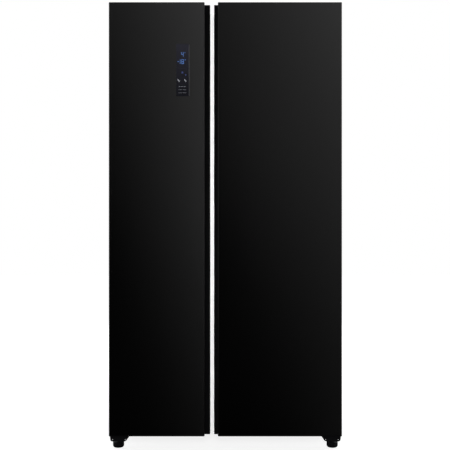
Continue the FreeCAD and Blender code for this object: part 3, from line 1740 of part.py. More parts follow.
def make_condenser():
    """Fin-and-tube condenser that stands on the machine tray beside its fan."""
    body = new_body("condenser")
    low_x = cells.condenser_offset
    low_y = machine_y - cells.condenser_height / 2
    high_y = machine_y + cells.condenser_height / 2
    high = tray_top + cells.condenser_height
    edge, thick = cells.fin_edge, cells.fin_thickness
    core = rectangle(low_y + edge, tray_top + edge, high_y - edge, high - edge)
    pad(body, "tube_pack", "YZ", low_x, low_x + cells.condenser_width, [core])
    fin = pad(body, "fin", "YZ", low_x, low_x + thick, [rectangle(low_y, tray_top, high_y, high)])
    line_up(body, "fins", fin, "X_Axis", cells.condenser_width - thick, cells.condenser_fins)
    return node(body)


def make_drain_pan():
    """Open pan on the tray that catches and boils off the defrost water."""
    body = new_body("drain_pan")
    half, wall = cells.pan_width / 2, cells.pan_wall
    x = cells.pan_offset / 2
    low_y, high_y = machine_front + wall * 4, cabinet_rear - wall * 4
    outline = rectangle(x - half, low_y, x + half, high_y)
    pad(body, "pan", "XY", tray_top, tray_top + cells.pan_height, [outline])
    hollow = rectangle(x - half + wall, low_y + wall, x + half - wall, high_y - wall)
    pocket(body, "hollow", "XY", tray_top + wall, tray_top + cells.pan_height, [hollow])
    return node(body)


def make_machine_cover():
    """Louvred rear cover of the machine room."""
    body = new_body("machine_room_cover")
    skin = cells.sheet
    side = half_width - skin
    outline = rectangle(-side, cabinet_base, side, machine_top)
    pad(body, "panel", "XZ", cabinet_rear - skin, cabinet_rear, [outline])
    wide, tall = cells.louvre_width, cells.louvre_height
    start = cabinet_base + cells.louvre_pitch * 2
    row = [
        rectangle(wide * -4, start, -wide, start + tall),
        rectangle(wide, start, wide * 4, start + tall),
    ]
    first = pocket(body, "louvre_row", "XZ", cabinet_rear - skin, cabinet_rear, row)
    line_up(body, "louvres", first, "Z_Axis", cells.louvre_pitch * 8, 9)
    return node(body)


def make_control_box():
    """Closed plastic box with the control electronics, on the machine room's right."""
    body = new_body("control_box")
    low_x = rail_inside - cells.control_box_side_gap - cells.control_box_width
    wall = cells.duct_wall
    outline = rectangle(
        low_x, tray_top, low_x + cells.control_box_width, tray_top + cells.control_box_height
    )
    near = cabinet_rear - cells.sheet - cells.control_box_depth
    pad(body, "box", "XZ", near, cabinet_rear - cells.sheet, [outline])
    return node(body)


def make_pipes():
    """Copper pipes that rise from the compressor and the condenser into the foam."""
    tube = cells.tube_radius
    x = -cells.compressor_offset
    shell_top = tray_top + cells.grommet_height + cells.compressor_height
    condenser_x = cells.condenser_offset + cells.condenser_width - cells.fin_edge * 3
    condenser_top = tray_top + cells.condenser_height
    pipes = [
        rod("suction_pipe", "z", tube, shell_top, machine_top, x=x - tube * 5, y=machine_y),
        rod("liquid_pipe", "z", tube, condenser_top, machine_top, x=condenser_x, y=machine_y),
    ]
    return node(combine("Compound", "refrigerant_pipes", pipes))


def make_cord_gland():
    """Empty grommet in the machine room cover where the mains lead leaves."""
    body = new_body("cord_gland")
    x, z = cells.gland_side_inset - rail_inside, cabinet_base + cells.grommet_radius * 2
    radius, bore = cells.gland_radius, cells.gland_radius / 2
    outline = [polygon(x, z, radius, 12), polygon(x, z, bore, 12)]
    pad(body, "ring", "XZ", cabinet_rear, cabinet_rear + cells.rear_stop_depth / 2, outline)
    return body


FOOT_SIDES = 16


def make_feet():
    """Front levelling feet: a domed pad and a stud in the hinge's boss."""
    for side, word in ((-1, "left"), (1, "right")):
        body = new_body(f"{word}_foot")
        x = foot_x * side
        pad_top = cells.foot_height
        base = body.newObject("PartDesign::AdditivePrism", "pad")
        base.Polygon = FOOT_SIDES
        base.AttachmentSupport = [(origin_part(body, "XY_Plane"), "")]
        base.MapMode = "FlatFace"
        bind(base, "AttachmentOffset.Base.x", x)
        bind(base, "AttachmentOffset.Base.y", foot_y)
        bind(base, "Circumradius", cells.foot_radius)
        bind(base, "Height", pad_top)
        round_edges(body, "sole", cells.foot_chamfer, lambda edge: lies_at(edge, z=0), "Chamfer")
        stud = circle(x, foot_y, cells.stud_radius)
        pad(body, "stud", "XY", pad_top / 2, pad_top + cells.stud_length - cells.sheet, [stud])
        node(body)


ROLLER_SIDES = 32


def make_rollers():
    """Rear rollers on the rails' axles."""
    for side, word in ((-1, "left"), (1, "right")):
        body = new_body(f"{word}_roller")
        x = (half_width - cells.roller_side_inset) * side
        y = cabinet_rear - cells.roller_rear_inset
        radius, half = cells.roller_radius, cells.roller_width / 2
        bore = cells.axle_radius + cells.running_clearance
        rings = [polygon(y, radius, radius, ROLLER_SIDES), circle(y, radius, bore)]
        pad(body, "wheel", "YZ", x - half, x + half, rings)
        node(body)


make_machine_tray()
grommets = make_compressor()
make_condenser()
fan_place = (
    cells.condenser_offset - cells.fan_depth - cells.fan_strut - cells.fan_frame_wall * 2,
    machine_y,
    tray_top + cells.fan_radius + cells.fan_tip_clearance + cells.fan_frame_wall,
)
make_fan("condenser_fan_blades", FACING_RIGHT, *fan_place)
condenser_fan_frame = make_fan_frame("condenser_fan_frame", FACING_RIGHT, *fan_place)
node(combine("Compound", "fan_frames", [evaporator_fan_frame, condenser_fan_frame]))
make_drain_pan()
make_machine_cover()
make_control_box()
make_pipes()
node(combine("Compound", "machine_room_grommets", grommets + [make_cord_gland()]))
make_feet()
make_rollers()

# ---------------------------------------------------------------------------------------------------------
# Check and write


def check_and_write():
    """Stops at any failed feature or bad shape, then writes one STEP file for each sub-part."""
    doc.recompute()
    failed = [item.Name for item in doc.Objects if {"Invalid", "Error"} & set(item.State)]
    if failed:
        raise RuntimeError(f"features that failed: {failed}")
    for label, item in NODES.items():
        if item.Shape.isNull() or not item.Shape.isValid() or not item.Shape.Solids:
            raise RuntimeError(f"{label} has no valid solid")
    os.makedirs("parts", exist_ok=True)
    for label, item in NODES.items():
        item.Shape.exportStep(f"parts/{label}.step")
    print(f"{len(NODES)} sub-parts written")


check_and_write()
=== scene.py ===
"""Side by side refrigerator: the looks of its pieces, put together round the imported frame."""

import math

import bmesh
import bpy
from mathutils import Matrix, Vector


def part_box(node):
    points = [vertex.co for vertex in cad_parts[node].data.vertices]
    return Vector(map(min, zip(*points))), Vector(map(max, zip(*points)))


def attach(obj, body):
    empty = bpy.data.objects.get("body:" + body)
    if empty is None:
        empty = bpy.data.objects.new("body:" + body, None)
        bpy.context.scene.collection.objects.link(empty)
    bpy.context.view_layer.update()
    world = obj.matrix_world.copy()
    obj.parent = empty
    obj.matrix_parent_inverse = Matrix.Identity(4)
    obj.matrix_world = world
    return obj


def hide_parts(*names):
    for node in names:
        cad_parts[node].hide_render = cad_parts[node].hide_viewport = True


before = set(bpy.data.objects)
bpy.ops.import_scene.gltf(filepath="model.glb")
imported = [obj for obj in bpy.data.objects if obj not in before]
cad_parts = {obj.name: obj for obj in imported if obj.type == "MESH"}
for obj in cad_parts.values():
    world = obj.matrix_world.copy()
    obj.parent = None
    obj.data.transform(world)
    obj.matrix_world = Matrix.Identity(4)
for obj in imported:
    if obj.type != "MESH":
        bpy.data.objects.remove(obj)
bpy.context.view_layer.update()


# Floor, backdrop and room: a pale floor under a white surround, as in a product studio. The camera, and
# what polished or clear pieces reflect from behind the object, see plain white; the rest of the room is dim.


def fill(tree, node, inputs):
    """Sets a shader node's inputs to values, or joins them to other nodes' outputs."""
    for socket, source in inputs.items():
        if isinstance(source, bpy.types.NodeSocket):
            tree.links.new(source, node.inputs[socket])
        else:
            node.inputs[socket].default_value = source


def wire(tree, kind, inputs=None, **settings):
    """A new shader node, set and joined up."""
    node = tree.nodes.new(f"ShaderNode{kind}")
    for setting, value in settings.items():
        setattr(node, setting, value)
    fill(tree, node, inputs or {})
    return node


def reckon(tree, operation, *values, **settings):
    """The result of a sum on values or outputs."""
    return wire(tree, "Math", dict(enumerate(values)), operation=operation, **settings).outputs[0]


def span(tree, value, low=0, high=1, start=0, end=1, **settings):
    """A value that runs from start to end while another one runs from low to high."""
    ends = {"Value": value, "From Min": low, "From Max": high, "To Min": start, "To Max": end}
    return wire(tree, "MapRange", ends, **settings).outputs["Result"]


studio = bpy.data.worlds.new("studio")
bpy.context.scene.world = studio
studio.use_nodes = True
room = studio.node_tree
room.nodes.clear()
rays = wire(room, "LightPath").outputs
clear_or_glossy = reckon(room, "MAXIMUM", rays["Is Glossy Ray"], rays["Is Transmission Ray"])
direction = wire(room, "SeparateXYZ", {0: wire(room, "TexCoord").outputs["Generated"]}).outputs
behind = span(room, direction["Y"], -0.35, 0.25, interpolation_type="SMOOTHSTEP")
seen_white = reckon(room, "MULTIPLY", clear_or_glossy, behind)
white = reckon(room, "MAXIMUM", seen_white, rays["Is Camera Ray"])
dim_room = span(room, clear_or_glossy, start=0.14, end=0.05)
level = wire(room, "Mix", {"Factor": white, "A": dim_room, "B": 1}).outputs["Result"]
glow = wire(room, "Background", {"Color": (1, 1, 1, 1), "Strength": level}).outputs[0]
wire(room, "OutputWorld", {0: glow})

bpy.ops.object.select_all(action="DESELECT")
bpy.ops.mesh.primitive_plane_add(size=40, location=(0, 0, -0.0005))
studio_floor = bpy.context.object
studio_floor.name = "studio_floor"
pale_floor = bpy.data.materials.new("studio_floor")
pale_floor.use_nodes = True
tree = pale_floor.node_tree
rays = wire(tree, "LightPath").outputs
seen = reckon(tree, "MAXIMUM", rays["Is Camera Ray"], rays["Is Transmission Ray"])
distance = wire(tree, "VectorMath", {0: wire(tree, "TexCoord").outputs["Object"]}, operation="LENGTH")
far_off = span(tree, distance.outputs["Value"], 0.9, 3.2, start=0.82)
floor_looks = {
    "Base Color": span(tree, rays["Is Glossy Ray"], start=0.35, end=0.06),
    "Roughness": 0.9,
    "Specular IOR Level": 0,
    "Emission Color": (1, 1, 1, 1),
    "Emission Strength": reckon(tree, "MULTIPLY", seen, far_off),
}
fill(tree, tree.nodes["Principled BSDF"], floor_looks)
studio_floor.data.materials.append(pale_floor)

# Camera: level, in front of the doors and a little lower than half their height. The view is shifted and
# not tilted, so that upright edges stay upright.
view = bpy.data.cameras.new("camera")
view.sensor_width = 36
view.lens = 61.7
view.shift_y = 0.0556
camera = bpy.data.objects.new("camera", view)
camera.location = (-0.0015, -3.325, 0.782)
camera.rotation_euler = (math.radians(90), 0, 0)
bpy.context.scene.collection.objects.link(camera)
bpy.context.scene.camera = camera
bpy.context.scene.view_settings.view_transform = "Standard"

# Lamps: a tall soft strip over the camera, broad soft boxes at both sides, two behind and one overhead.
# They light the pieces evenly, so that a colour renders about as it is written. Two more soft boxes a
# little nearer the camera only draw the highlights along polished edges.
aim = Vector((0, 0, 0.9))
for name, place, width, height, power in (
    ("strip_lamp", (0, -4.4, 1.2), 0.5, 1.8, 160),
    ("right_lamp", (4, 0.5, 1.5), 2.4, 2.8, 45),
    ("left_lamp", (-4, 0.5, 1.5), 2.4, 2.8, 45),
    ("rear_right_lamp", (2.4, 3.6, 2.2), 2.4, 2.4, 95),
    ("rear_left_lamp", (-2.4, 3.6, 2.2), 2.4, 2.4, 95),
    ("top_lamp", (0, 0.4, 4.6), 1.6, 1.6, 70),
    ("right_edge_lamp", (4, -0.7, 1.5), 2.4, 2.8, 85),
    ("left_edge_lamp", (-4, -0.7, 1.5), 2.4, 2.8, 85),
):
    lamp = bpy.data.lights.new(name, "AREA")
    lamp.shape = "RECTANGLE"
    lamp.size, lamp.size_y = width, height
    lamp.energy = power
    stand = bpy.data.objects.new(name, lamp)
    stand.location = place
    stand.rotation_euler = (aim - Vector(place)).to_track_quat("-Z", "Y").to_euler()
    stand.visible_camera = False
    stand.visible_glossy = "edge" in name
    stand.visible_diffuse = not stand.visible_glossy
    bpy.context.scene.collection.objects.link(stand)


# Cabinet wrapper: the two sides and the top are one folded sheet of prepainted steel, with a narrow
# return at the front that the door gaskets close on. The paint is near black with a fine orange peel.

wrapper_radius, wrapper_sheet, front_return, foot_return = 0.006, 0.001, 0.038, 0.04
# How near a plane the middle of an edge has to be to count as on it.
hair = 0.0001


def surface_grain():
    """Node group: the small unevenness of paint, moulded plastic or drawn metal."""
    group = bpy.data.node_groups.new("surface_grain", "ShaderNodeTree")
    face = group.interface
    for socket, value in (("Scale", 400), ("Roughness", 0.4), ("Spread", 0.1)):
        made = face.new_socket(name=socket, in_out="INPUT", socket_type="NodeSocketFloat")
        made.default_value = value
    for socket in ("Roughness", "Height", "Tone"):
        face.new_socket(name=socket, in_out="OUTPUT", socket_type="NodeSocketFloat")
    start, end = group.nodes.new("NodeGroupInput").outputs, group.nodes.new("NodeGroupOutput")
    place = wire(group, "TexCoord").outputs["Object"]
    fine = wire(group, "TexNoise", {"Vector": place, "Scale": start["Scale"], "Detail": 2}).outputs[0]
    broad = wire(group, "TexNoise", {"Vector": place, "Scale": 3.5, "Detail": 4}).outputs[0]
    both = reckon(group, "MULTIPLY_ADD", fine, 0.35, reckon(group, "MULTIPLY", broad, 0.65))
    centred = reckon(group, "SUBTRACT", both, 0.5)
    rough = reckon(group, "MULTIPLY_ADD", centred, start["Spread"], start["Roughness"], use_clamp=True)
    fill(group, end, {"Roughness": rough, "Height": fine, "Tone": both})
    return group


def finish(name, colour, rough, grain=(400, 0.1, 0.00002), shade=0.9, **sockets):
    """A material: one colour with slight tones in it, grain in its roughness and its relief."""
    scale, spread, relief = grain
    material = bpy.data.materials.new(name)
    material.use_nodes = True
    tree = material.node_tree
    texture = wire(
        tree,
        "Group",
        {"Scale": scale, "Roughness": rough, "Spread": spread},
        node_tree=bpy.data.node_groups.get("surface_grain") or surface_grain(),
    ).outputs
    dark, plain = (*(part * shade for part in colour), 1), (*colour, 1)
    tones = wire(tree, "Mix", {"Factor": texture["Tone"], "A": dark, "B": plain}, data_type="RGBA")
    looks = {"Base Color": tones.outputs["Result"], "Roughness": texture["Roughness"]}
    if relief:
        bump = wire(tree, "Bump", {"Distance": relief, "Height": texture["Height"]})
        looks["Normal"] = bump.outputs["Normal"]
    for socket, value in sockets.items():
        looks[socket.replace("_", " ")] = value
    fill(tree, tree.nodes["Principled BSDF"], looks)
    return material


def rest():
    """Leaves edit mode and selects nothing."""
    if bpy.context.mode != "OBJECT":
        bpy.ops.object.mode_set(mode="OBJECT")
    bpy.ops.object.select_all(action="DESELECT")


def take(piece):
    """Selects one piece alone."""
    rest()
    piece.select_set(True)
    bpy.context.view_layer.objects.active = piece


def slab(name, low, high):
    """A new piece, started as a block between two corners."""
    rest()
    low, high = Vector(low), Vector(high)
    bpy.ops.mesh.primitive_cube_add(size=1, location=(low + high) / 2, scale=high - low)
    bpy.ops.object.transform_apply(location=True, rotation=True, scale=True)
    piece = bpy.context.object
    piece.name = piece.data.name = name
    return piece


def choose(piece, kind, test):
    """In edit mode, selects the vertices, edges or faces that pass a test on their middle and direction."""
    if bpy.context.mode != "EDIT_MESH":
        take(piece)
        bpy.ops.object.mode_set(mode="EDIT")
    bpy.ops.mesh.select_mode(type=kind)
    shape = bmesh.from_edit_mesh(piece.data)
    parts = {"VERT": shape.verts, "EDGE": shape.edges, "FACE": shape.faces}[kind]
    bpy.ops.mesh.select_all(action="DESELECT")
    for part in parts:
        if kind == "FACE":
            middle, way = part.calc_center_median(), part.normal
        elif kind == "EDGE":
            one, other = (corner.co for corner in part.verts)
            middle, way = (one + other) / 2, (other - one).normalized()
        else:
            middle, way = part.co, part.normal
        if test(middle, way):
            part.select_set(True)
    shape.select_flush_mode()
    bmesh.update_edit_mesh(piece.data)


def soften(piece, width, segments, test):
    """Rounds the edges that pass a test."""
    choose(piece, "EDGE", test)
    bpy.ops.mesh.bevel(offset=width, segments=segments, affect="EDGES", clamp_overlap=True)


def drop(piece, test):
    """Deletes the faces that pass a test."""
    choose(piece, "FACE", test)
    bpy.ops.mesh.delete(type="FACE")


def modify(piece, kind, **settings):
    """Adds one modifier and applies it."""
    take(piece)
    change = piece.modifiers.new(kind.lower(), kind)
    for setting, value in settings.items():
        setattr(change, setting, value)
    bpy.ops.object.modifier_apply(modifier=change.name)


def fit(piece, body, slot, material, *replaced):
    """Cleans and shades a finished piece, paints it and hangs it on its body, in place of CAD nodes."""
    same_point, sharp_edge = 0.000002, math.radians(35)
    choose(piece, "FACE", lambda at, way: True)
    bpy.ops.mesh.remove_doubles(threshold=same_point)
    bpy.ops.mesh.dissolve_degenerate(threshold=same_point)
    choose(piece, "FACE", lambda at, way: False)
    bpy.ops.mesh.select_interior_faces()
    bpy.ops.mesh.delete(type="FACE")
    take(piece)
    bpy.ops.object.shade_smooth_by_angle(angle=sharp_edge)
    modify(piece, "WEIGHTED_NORMAL", keep_sharp=True)
    piece.data.materials.clear()
    piece.data.materials.append(material)
    if replaced:
        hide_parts(*replaced)
    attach(piece, body)


cabinet_paint = finish(
    "cabinet_paint", (0.012, 0.012, 0.013), 0.42, grain=(260, 0.12, 0.00006), Specular_IOR_Level=0.35
)
cabinet_low, cabinet_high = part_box("cabinet_wrapper")
foot_z = cabinet_low.z + foot_return
wrapper = slab("cabinet_sheet", cabinet_low, cabinet_high)
soften(wrapper, wrapper_radius, 6, lambda at, way: abs(way.y) > 0.9 and at.z > cabinet_high.z - hair)
choose(wrapper, "FACE", lambda at, way: way.y < -0.9)
bpy.ops.mesh.inset(thickness=front_return)
bpy.ops.mesh.delete(type="FACE")
drop(wrapper, lambda at, way: way.y > 0.9 or way.z < -0.9 or way.y < -0.9 and at.z < foot_z)
modify(wrapper, "SOLIDIFY", thickness=wrapper_sheet, offset=-1)
fit(wrapper, "cabinet", "dark_cabinet", cabinet_paint, "cabinet_wrapper")

# Rear panel, base pan, rails, machine floor and hinge plates: galvanised sheet with a faint crystal pattern,
# pressed and screwed or crimped to the wrapper. Four shallow beads stiffen the rear panel.

panel_corner, bead_margin, bead_width, bead_seat, bead_edge = 0.005, 0.12, 0.022, 0.0004, 0.0028
bead_end = bead_width * 0.49


def again(piece, shift):
    """A copy of a piece with its own mesh, moved from the first."""
    take(piece)
    bpy.ops.object.duplicate(linked=False)
    bpy.ops.transform.translate(value=shift)
    bpy.ops.object.transform_apply(location=True, rotation=False, scale=False)
    return bpy.context.object


def join(name, pieces):
    """Makes several meshes one piece."""
    rest()
    for piece in pieces:
        piece.select_set(True)
    bpy.context.view_layer.objects.active = pieces[0]
    bpy.ops.object.join()
    pieces[0].name = pieces[0].data.name = name
    return pieces[0]


def softened(name, width, node, segments=2):
    """A copy of a CAD node, merged and with its edges rounded."""
    same_point, flat, corner = 0.00001, math.radians(1), math.radians(32)
    rest()
    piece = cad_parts[node].copy()
    piece.data = piece.data.copy()
    piece.name = piece.data.name = name
    piece.parent = None
    piece.hide_render = piece.hide_viewport = False
    bpy.context.scene.collection.objects.link(piece)
    for tag in [tag for tag in piece.keys() if tag.startswith("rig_")]:
        del piece[tag]
    take(piece)
    bpy.ops.object.mode_set(mode="EDIT")
    bpy.ops.mesh.select_all(action="SELECT")
    bpy.ops.mesh.remove_doubles(threshold=same_point)
    bpy.ops.mesh.dissolve_limited(angle_limit=flat)
    rest()
    if width:
        modify(
            piece,
            "BEVEL",
            width=width,
            segments=segments,
            limit_method="ANGLE",
            angle_limit=corner,
            use_clamp_overlap=True,
            harden_normals=False,
        )
    return piece


def stand_in(name, width, node, body, slot, material, segments=2):
    """Fits a softened copy of a CAD node in that node's place."""
    fit(softened(name, width, node, segments), body, slot, material, node)


plated_steel = finish(
    "plated_steel", (0.5, 0.51, 0.53), 0.34, grain=(35, 0.3, 0.00001), shade=0.8, Metallic=0.9
)
tree = plated_steel.node_tree
place = wire(tree, "TexCoord").outputs["Object"]
crystals = wire(tree, "TexVoronoi", {"Vector": place, "Scale": 85}).outputs["Color"]
shares = wire(tree, "SeparateColor", {0: crystals}).outputs
spangle = wire(
    tree,
    "Mix",
    {"Factor": shares["Red"], "A": (0.455, 0.465, 0.48, 1), "B": (0.53, 0.54, 0.56, 1)},
    data_type="RGBA",
)
dullness = span(tree, shares["Green"], start=0.34, end=0.42)
crystal_looks = {"Base Color": spangle.outputs["Result"], "Roughness": dullness}
fill(tree, tree.nodes["Principled BSDF"], crystal_looks)
rear_low, rear_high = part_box("rear_panel")
rear_sheet = slab("rear_sheet", rear_low, (rear_high.x, cabinet_high.y, rear_high.z))
soften(rear_sheet, panel_corner, 4, lambda at, way: abs(way.y) > 0.9 and at.z > rear_high.z - hair)
first_left = rear_low.x + bead_margin
bead = slab(
    "bead",
    (first_left, cabinet_high.y - bead_seat, rear_low.z + bead_margin),
    (first_left + bead_width, rear_high.y, rear_high.z - bead_margin),
)
soften(bead, bead_end, 6, lambda at, way: abs(way.y) > 0.9)
soften(bead, bead_edge, 4, lambda at, way: at.y > rear_high.y - hair)
bead_step = (rear_high.x - rear_low.x - 2 * bead_margin - bead_width) / 3
beads = [bead] + [again(bead, (bead_step * number, 0, 0)) for number in (1, 2, 3)]
rear_sheet = join("rear_sheet", [rear_sheet] + beads)
fit(rear_sheet, "cabinet", "zinc_steel", plated_steel, "rear_panel")
for name, width, node in (
    ("base_sheet", 0.0004, "base_pan"),
    ("side_rails", 0.0005, "base_rails"),
    ("machine_floor", 0.0005, "machine_tray"),
    ("hex_screws", 0.0004, "hinge_screws"),
    ("hinge_plates", 0.0004, "upper_hinges"),
):
    stand_in(name, width, node, "cabinet", "zinc_steel", plated_steel)

# Rear spacers: two moulded blocks of black plastic, fixed high on the rear panel, that hold the cabinet
# off the wall.
black_plastic = finish(
    "black_plastic", (0.013, 0.013, 0.014), 0.5, grain=(900, 0.16, 0.00004), Specular_IOR_Level=0.3
)
stand_in("wall_spacers", 0.002, "rear_spacers", "cabinet", "dark_plastic", black_plastic)

# Door skins: each is one sheet of prepainted steel, folded round the front, the hinge side and the lip of
# the finger grip, and foamed in place. Painted sheen: the satin black is paler towards the top and the right.

edge_radius, lip_depth, skin_sheet = 0.004, 0.014, 0.001
notch_depth, notch_lap = 0.057, 0.0015


def door_paint_with_painted_sheen(name, left, right, base, top):
    """Satin black whose colour climbs slowly across and up one door: a painted sheen."""
    across_sheen, up_sheen, sheen_bend, display_gamma = 0.075, 0.116, 1.3, 2.2
    paint = finish(name, (0.01, 0.01, 0.01), 0.36, grain=(320, 0.06, 0.00003), Specular_IOR_Level=0.14)
    tree = paint.node_tree
    place = wire(tree, "SeparateXYZ", {0: wire(tree, "TexCoord").outputs["Object"]}).outputs
    # Painted sheen: paler towards the right and the top, standing in for the lamps' reflection in the satin
    # paint.
    painted_side_sheen = reckon(tree, "MULTIPLY", span(tree, place["X"], left, right), across_sheen)
    painted_climb = reckon(tree, "POWER", span(tree, place["Z"], base, top), sheen_bend)
    painted_sheen_level = reckon(tree, "MULTIPLY_ADD", painted_climb, up_sheen, painted_side_sheen)
    painted_sheen_colour = reckon(tree, "POWER", painted_sheen_level, display_gamma)
    colour = wire(tree, "CombineColor", dict.fromkeys(("Red", "Green", "Blue"), painted_sheen_colour))
    fill(tree, tree.nodes["Principled BSDF"], {"Base Color": colour.outputs[0]})
    return paint


def slit(piece, place, way, test):
    """Cuts the faces that pass a test along a plane."""
    choose(piece, "FACE", test)
    bpy.ops.mesh.bisect(plane_co=place, plane_no=way)


def slit_round(piece, left, right, base, top, test):
    """Cuts the faces that pass a test along the four sides of an upright rectangle."""
    for place, way in (
        ((left, 0, 0), (1, 0, 0)),
        ((right, 0, 0), (1, 0, 0)),
        ((0, 0, base), (0, 0, 1)),
        ((0, 0, top), (0, 0, 1)),
    ):
        slit(piece, place, way, test)


lens_low, lens_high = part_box("control_panel_lens")


def over_lens(at, way):
    """Whether a face at the front lies within the outline of the display."""
    return way.y < -0.9 and lens_low.x < at.x < lens_high.x and lens_low.z < at.z < lens_high.z


for door, side in (("freezer", 1), ("fridge", -1)):
    low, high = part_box(f"{door}_door_skin")
    lip_y, notch_y, notch_z = low.y + lip_depth, high.y - notch_depth, cabinet_high.z - notch_lap
    skin = slab(f"{door}_door_sheet", low, high)
    soften(skin, edge_radius, 5, lambda at, way: abs(way.z) > 0.9 and at.y < low.y + hair)
    drop(skin, lambda at, way: way.y > 0.9 or abs(way.z) > 0.9)
    slit(skin, (0, lip_y, 0), (0, 1, 0), lambda at, way: way.x * side > 0.9)
    drop(skin, lambda at, way: way.x * side > 0.9 and at.y > lip_y)
    slit(skin, (0, notch_y, 0), (0, 1, 0), lambda at, way: way.x * side < -0.9)
    slit(skin, (0, 0, notch_z), (0, 0, 1), lambda at, way: way.x * side < -0.9)
    drop(skin, lambda at, way: way.x * side < -0.9 and at.y > notch_y and at.z > notch_z)
    if door == "freezer":
        slit_round(skin, lens_low.x, lens_high.x, lens_low.z, lens_high.z, lambda at, way: way.y < -0.9)
        drop(skin, over_lens)
    modify(skin, "SOLIDIFY", thickness=skin_sheet, offset=-1)
    paint = door_paint_with_painted_sheen(f"{door}_door_paint_with_painted_sheen", low.x, high.x, low.z, high.z)
    fit(skin, f"{door}_door", "black_painted_steel", paint, f"{door}_door_skin")

# Grip rails and end caps: a black extruded rail lines the finger grip behind the lip of each door, and
# moulded caps of the same black close the top and the foot of the door. All are held by the door's foam.
cap_plastic = finish(
    "cap_plastic", (0.002, 0.002, 0.0022), 0.45, grain=(700, 0.1, 0.00002), Specular_IOR_Level=0.12
)
for door in ("freezer", "fridge"):
    for name, width, node in (("grip_rail", 0.0005, "grip"), ("door_caps", 0.0008, "end_caps")):
        stand_in(f"{door}_{name}", width, f"{door}_door_{node}", f"{door}_door", "dark_plastic", cap_plastic)

# Display: a glossy smoke-blue lens, flush in the freezer door, that lights two blue numbers and a row of
# small marks from behind. Its housing clips into the door's skin.

lens_corner, lens_edge, bar_sink, bar_lift = 0.003, 0.0004, 0.0002, 0.0001
figure_width, figure_height, degree_width, degree_height = 0.009, 0.018, 0.0035, 0.007
upper_row, lower_row = -0.032, -0.06
# The values from the fourth line on size a pale strip down the right edge of the lens, a painted highlight.
highlight_left, highlight_right, highlight_lift, highlight_sink, rim_and_highlight_inset, highlight_edge = 0.0016, 0.0002, 0.0002, 0.0004, 0.003, 0.0003


def light(name, colour, strength):
    """What a lit mark behind the lens is made of."""
    unlit = tuple(part * 0.4 for part in colour)
    return finish(
        name, unlit, 0.4, grain=(900, 0.05, 0), Emission_Color=(*colour, 1), Emission_Strength=strength
    )


def mark(left, low, right, high):
    """One lit bar, measured from the lens's top left corner."""
    return slab(
        "mark",
        (lens_low.x + left, lens_low.y - bar_lift, lens_high.z + low),
        (lens_low.x + right, lens_low.y + bar_sink, lens_high.z + high),
    )


def figure(strokes, left, top, width, height):
    """A number as a seven-stroke display shows it: t, m and b lie flat, p, q, r and s stand upright."""
    thick, gap = 0.11 * height, 0.00005
    half = height / 2
    bars = {
        "t": (0, -thick, width, 0),
        "m": (0, -half - thick / 2, width, -half + thick / 2),
        "b": (0, -height, width, -height + thick),
        "p": (0, -half, thick, 0),
        "q": (width - thick, -half, width, 0),
        "r": (0, -height, thick, -half),
        "s": (width - thick, -height, width, -half),
    }
    pieces = []
    for stroke in strokes:
        x, z, far_x, far_z = bars[stroke]
        bar = mark(left + x + gap, top + z + gap, left + far_x - gap, top + far_z - gap)
        soften(bar, (thick / 2 - gap) * 0.9, 1, lambda at, way: abs(way.y) > 0.9)
        pieces.append(bar)
    return pieces


def star(x, z, reach, thick):
    """Three crossed bars, the usual mark for cold."""
    arms = []
    for turn in (0, 60, 120):
        arm = mark(x - reach, z - thick / 2, x + reach, z + thick / 2)
        take(arm)
        bpy.ops.transform.rotate(
            value=math.radians(turn),
            orient_axis="Y",
            center_override=(lens_low.x + x, lens_low.y, lens_high.z + z),
        )
        bpy.ops.object.transform_apply(location=True, rotation=True, scale=True)
        arms.append(arm)
    return arms


lens = slab("display_lens", lens_low, lens_high)
soften(lens, lens_corner, 5, lambda at, way: abs(way.y) > 0.9)
soften(lens, lens_edge, 2, lambda at, way: abs(way.y) < 0.1 and at.y < lens_low.y + hair)
display_glass = finish(
    "display_glass", (0.004, 0.004, 0.0045), 0.08, grain=(60, 0.02, 0), Specular_IOR_Level=0.5
)
tree = display_glass.node_tree
place = wire(tree, "SeparateXYZ", {0: wire(tree, "TexCoord").outputs["Object"]}).outputs
# Painted reflection: the smoke-blue colour grows paler from the lens's foot to its top, standing in for the
# lamps' sheen on it.
smoke_tint_and_painted_sheen = {
    "Factor": span(tree, place["Z"], lens_low.z, lens_high.z),
    "A": (0.006, 0.006, 0.0085, 1),
    "B": (0.018, 0.018, 0.0245, 1),
}
tint = wire(tree, "Mix", smoke_tint_and_painted_sheen, data_type="RGBA").outputs["Result"]
fill(tree, tree.nodes["Principled BSDF"], {"Base Color": tint})
fit(lens, "freezer_door", "display_glass", display_glass, "control_panel_lens")
blue_marks = []
for strokes, left, top, width, height in (
    ("pqms", 0.0195, upper_row, figure_width, figure_height),
    ("tpqm", 0.0325, upper_row, degree_width, degree_height),
    ("m", 0.0045, lower_row, 0.007, figure_height),
    ("qs", 0.0125, lower_row, 0.004, figure_height),
    ("tmbpqrs", 0.0205, lower_row, figure_width, figure_height),
    ("tpqm", 0.0335, lower_row, degree_width, degree_height),
):
    blue_marks += figure(strokes, left, top, width, height)
faint_marks = star(0.024, -0.112, 0.0045, 0.0009) + star(0.0365, -0.121, 0.003, 0.0008)
white_marks = []
for left in (0.0065, 0.0325):
    white_marks += figure("pm", left, -0.1365, 0.006, 0.0115)
    white_marks.append(mark(left + 0.0035, -0.1475, left + 0.006, -0.1455))
grey_marks = [mark(0.0105, -0.1675, 0.0135, -0.1645)]
grey_marks += [mark(left, -0.1668, left + 0.009, -0.1656) for left in (0.0165, 0.0285)]
for down in (0.178, 0.19):
    grey_marks += [mark(left, -down - 0.0008, left + 0.013, -down) for left in (0.0085, 0.0255)]
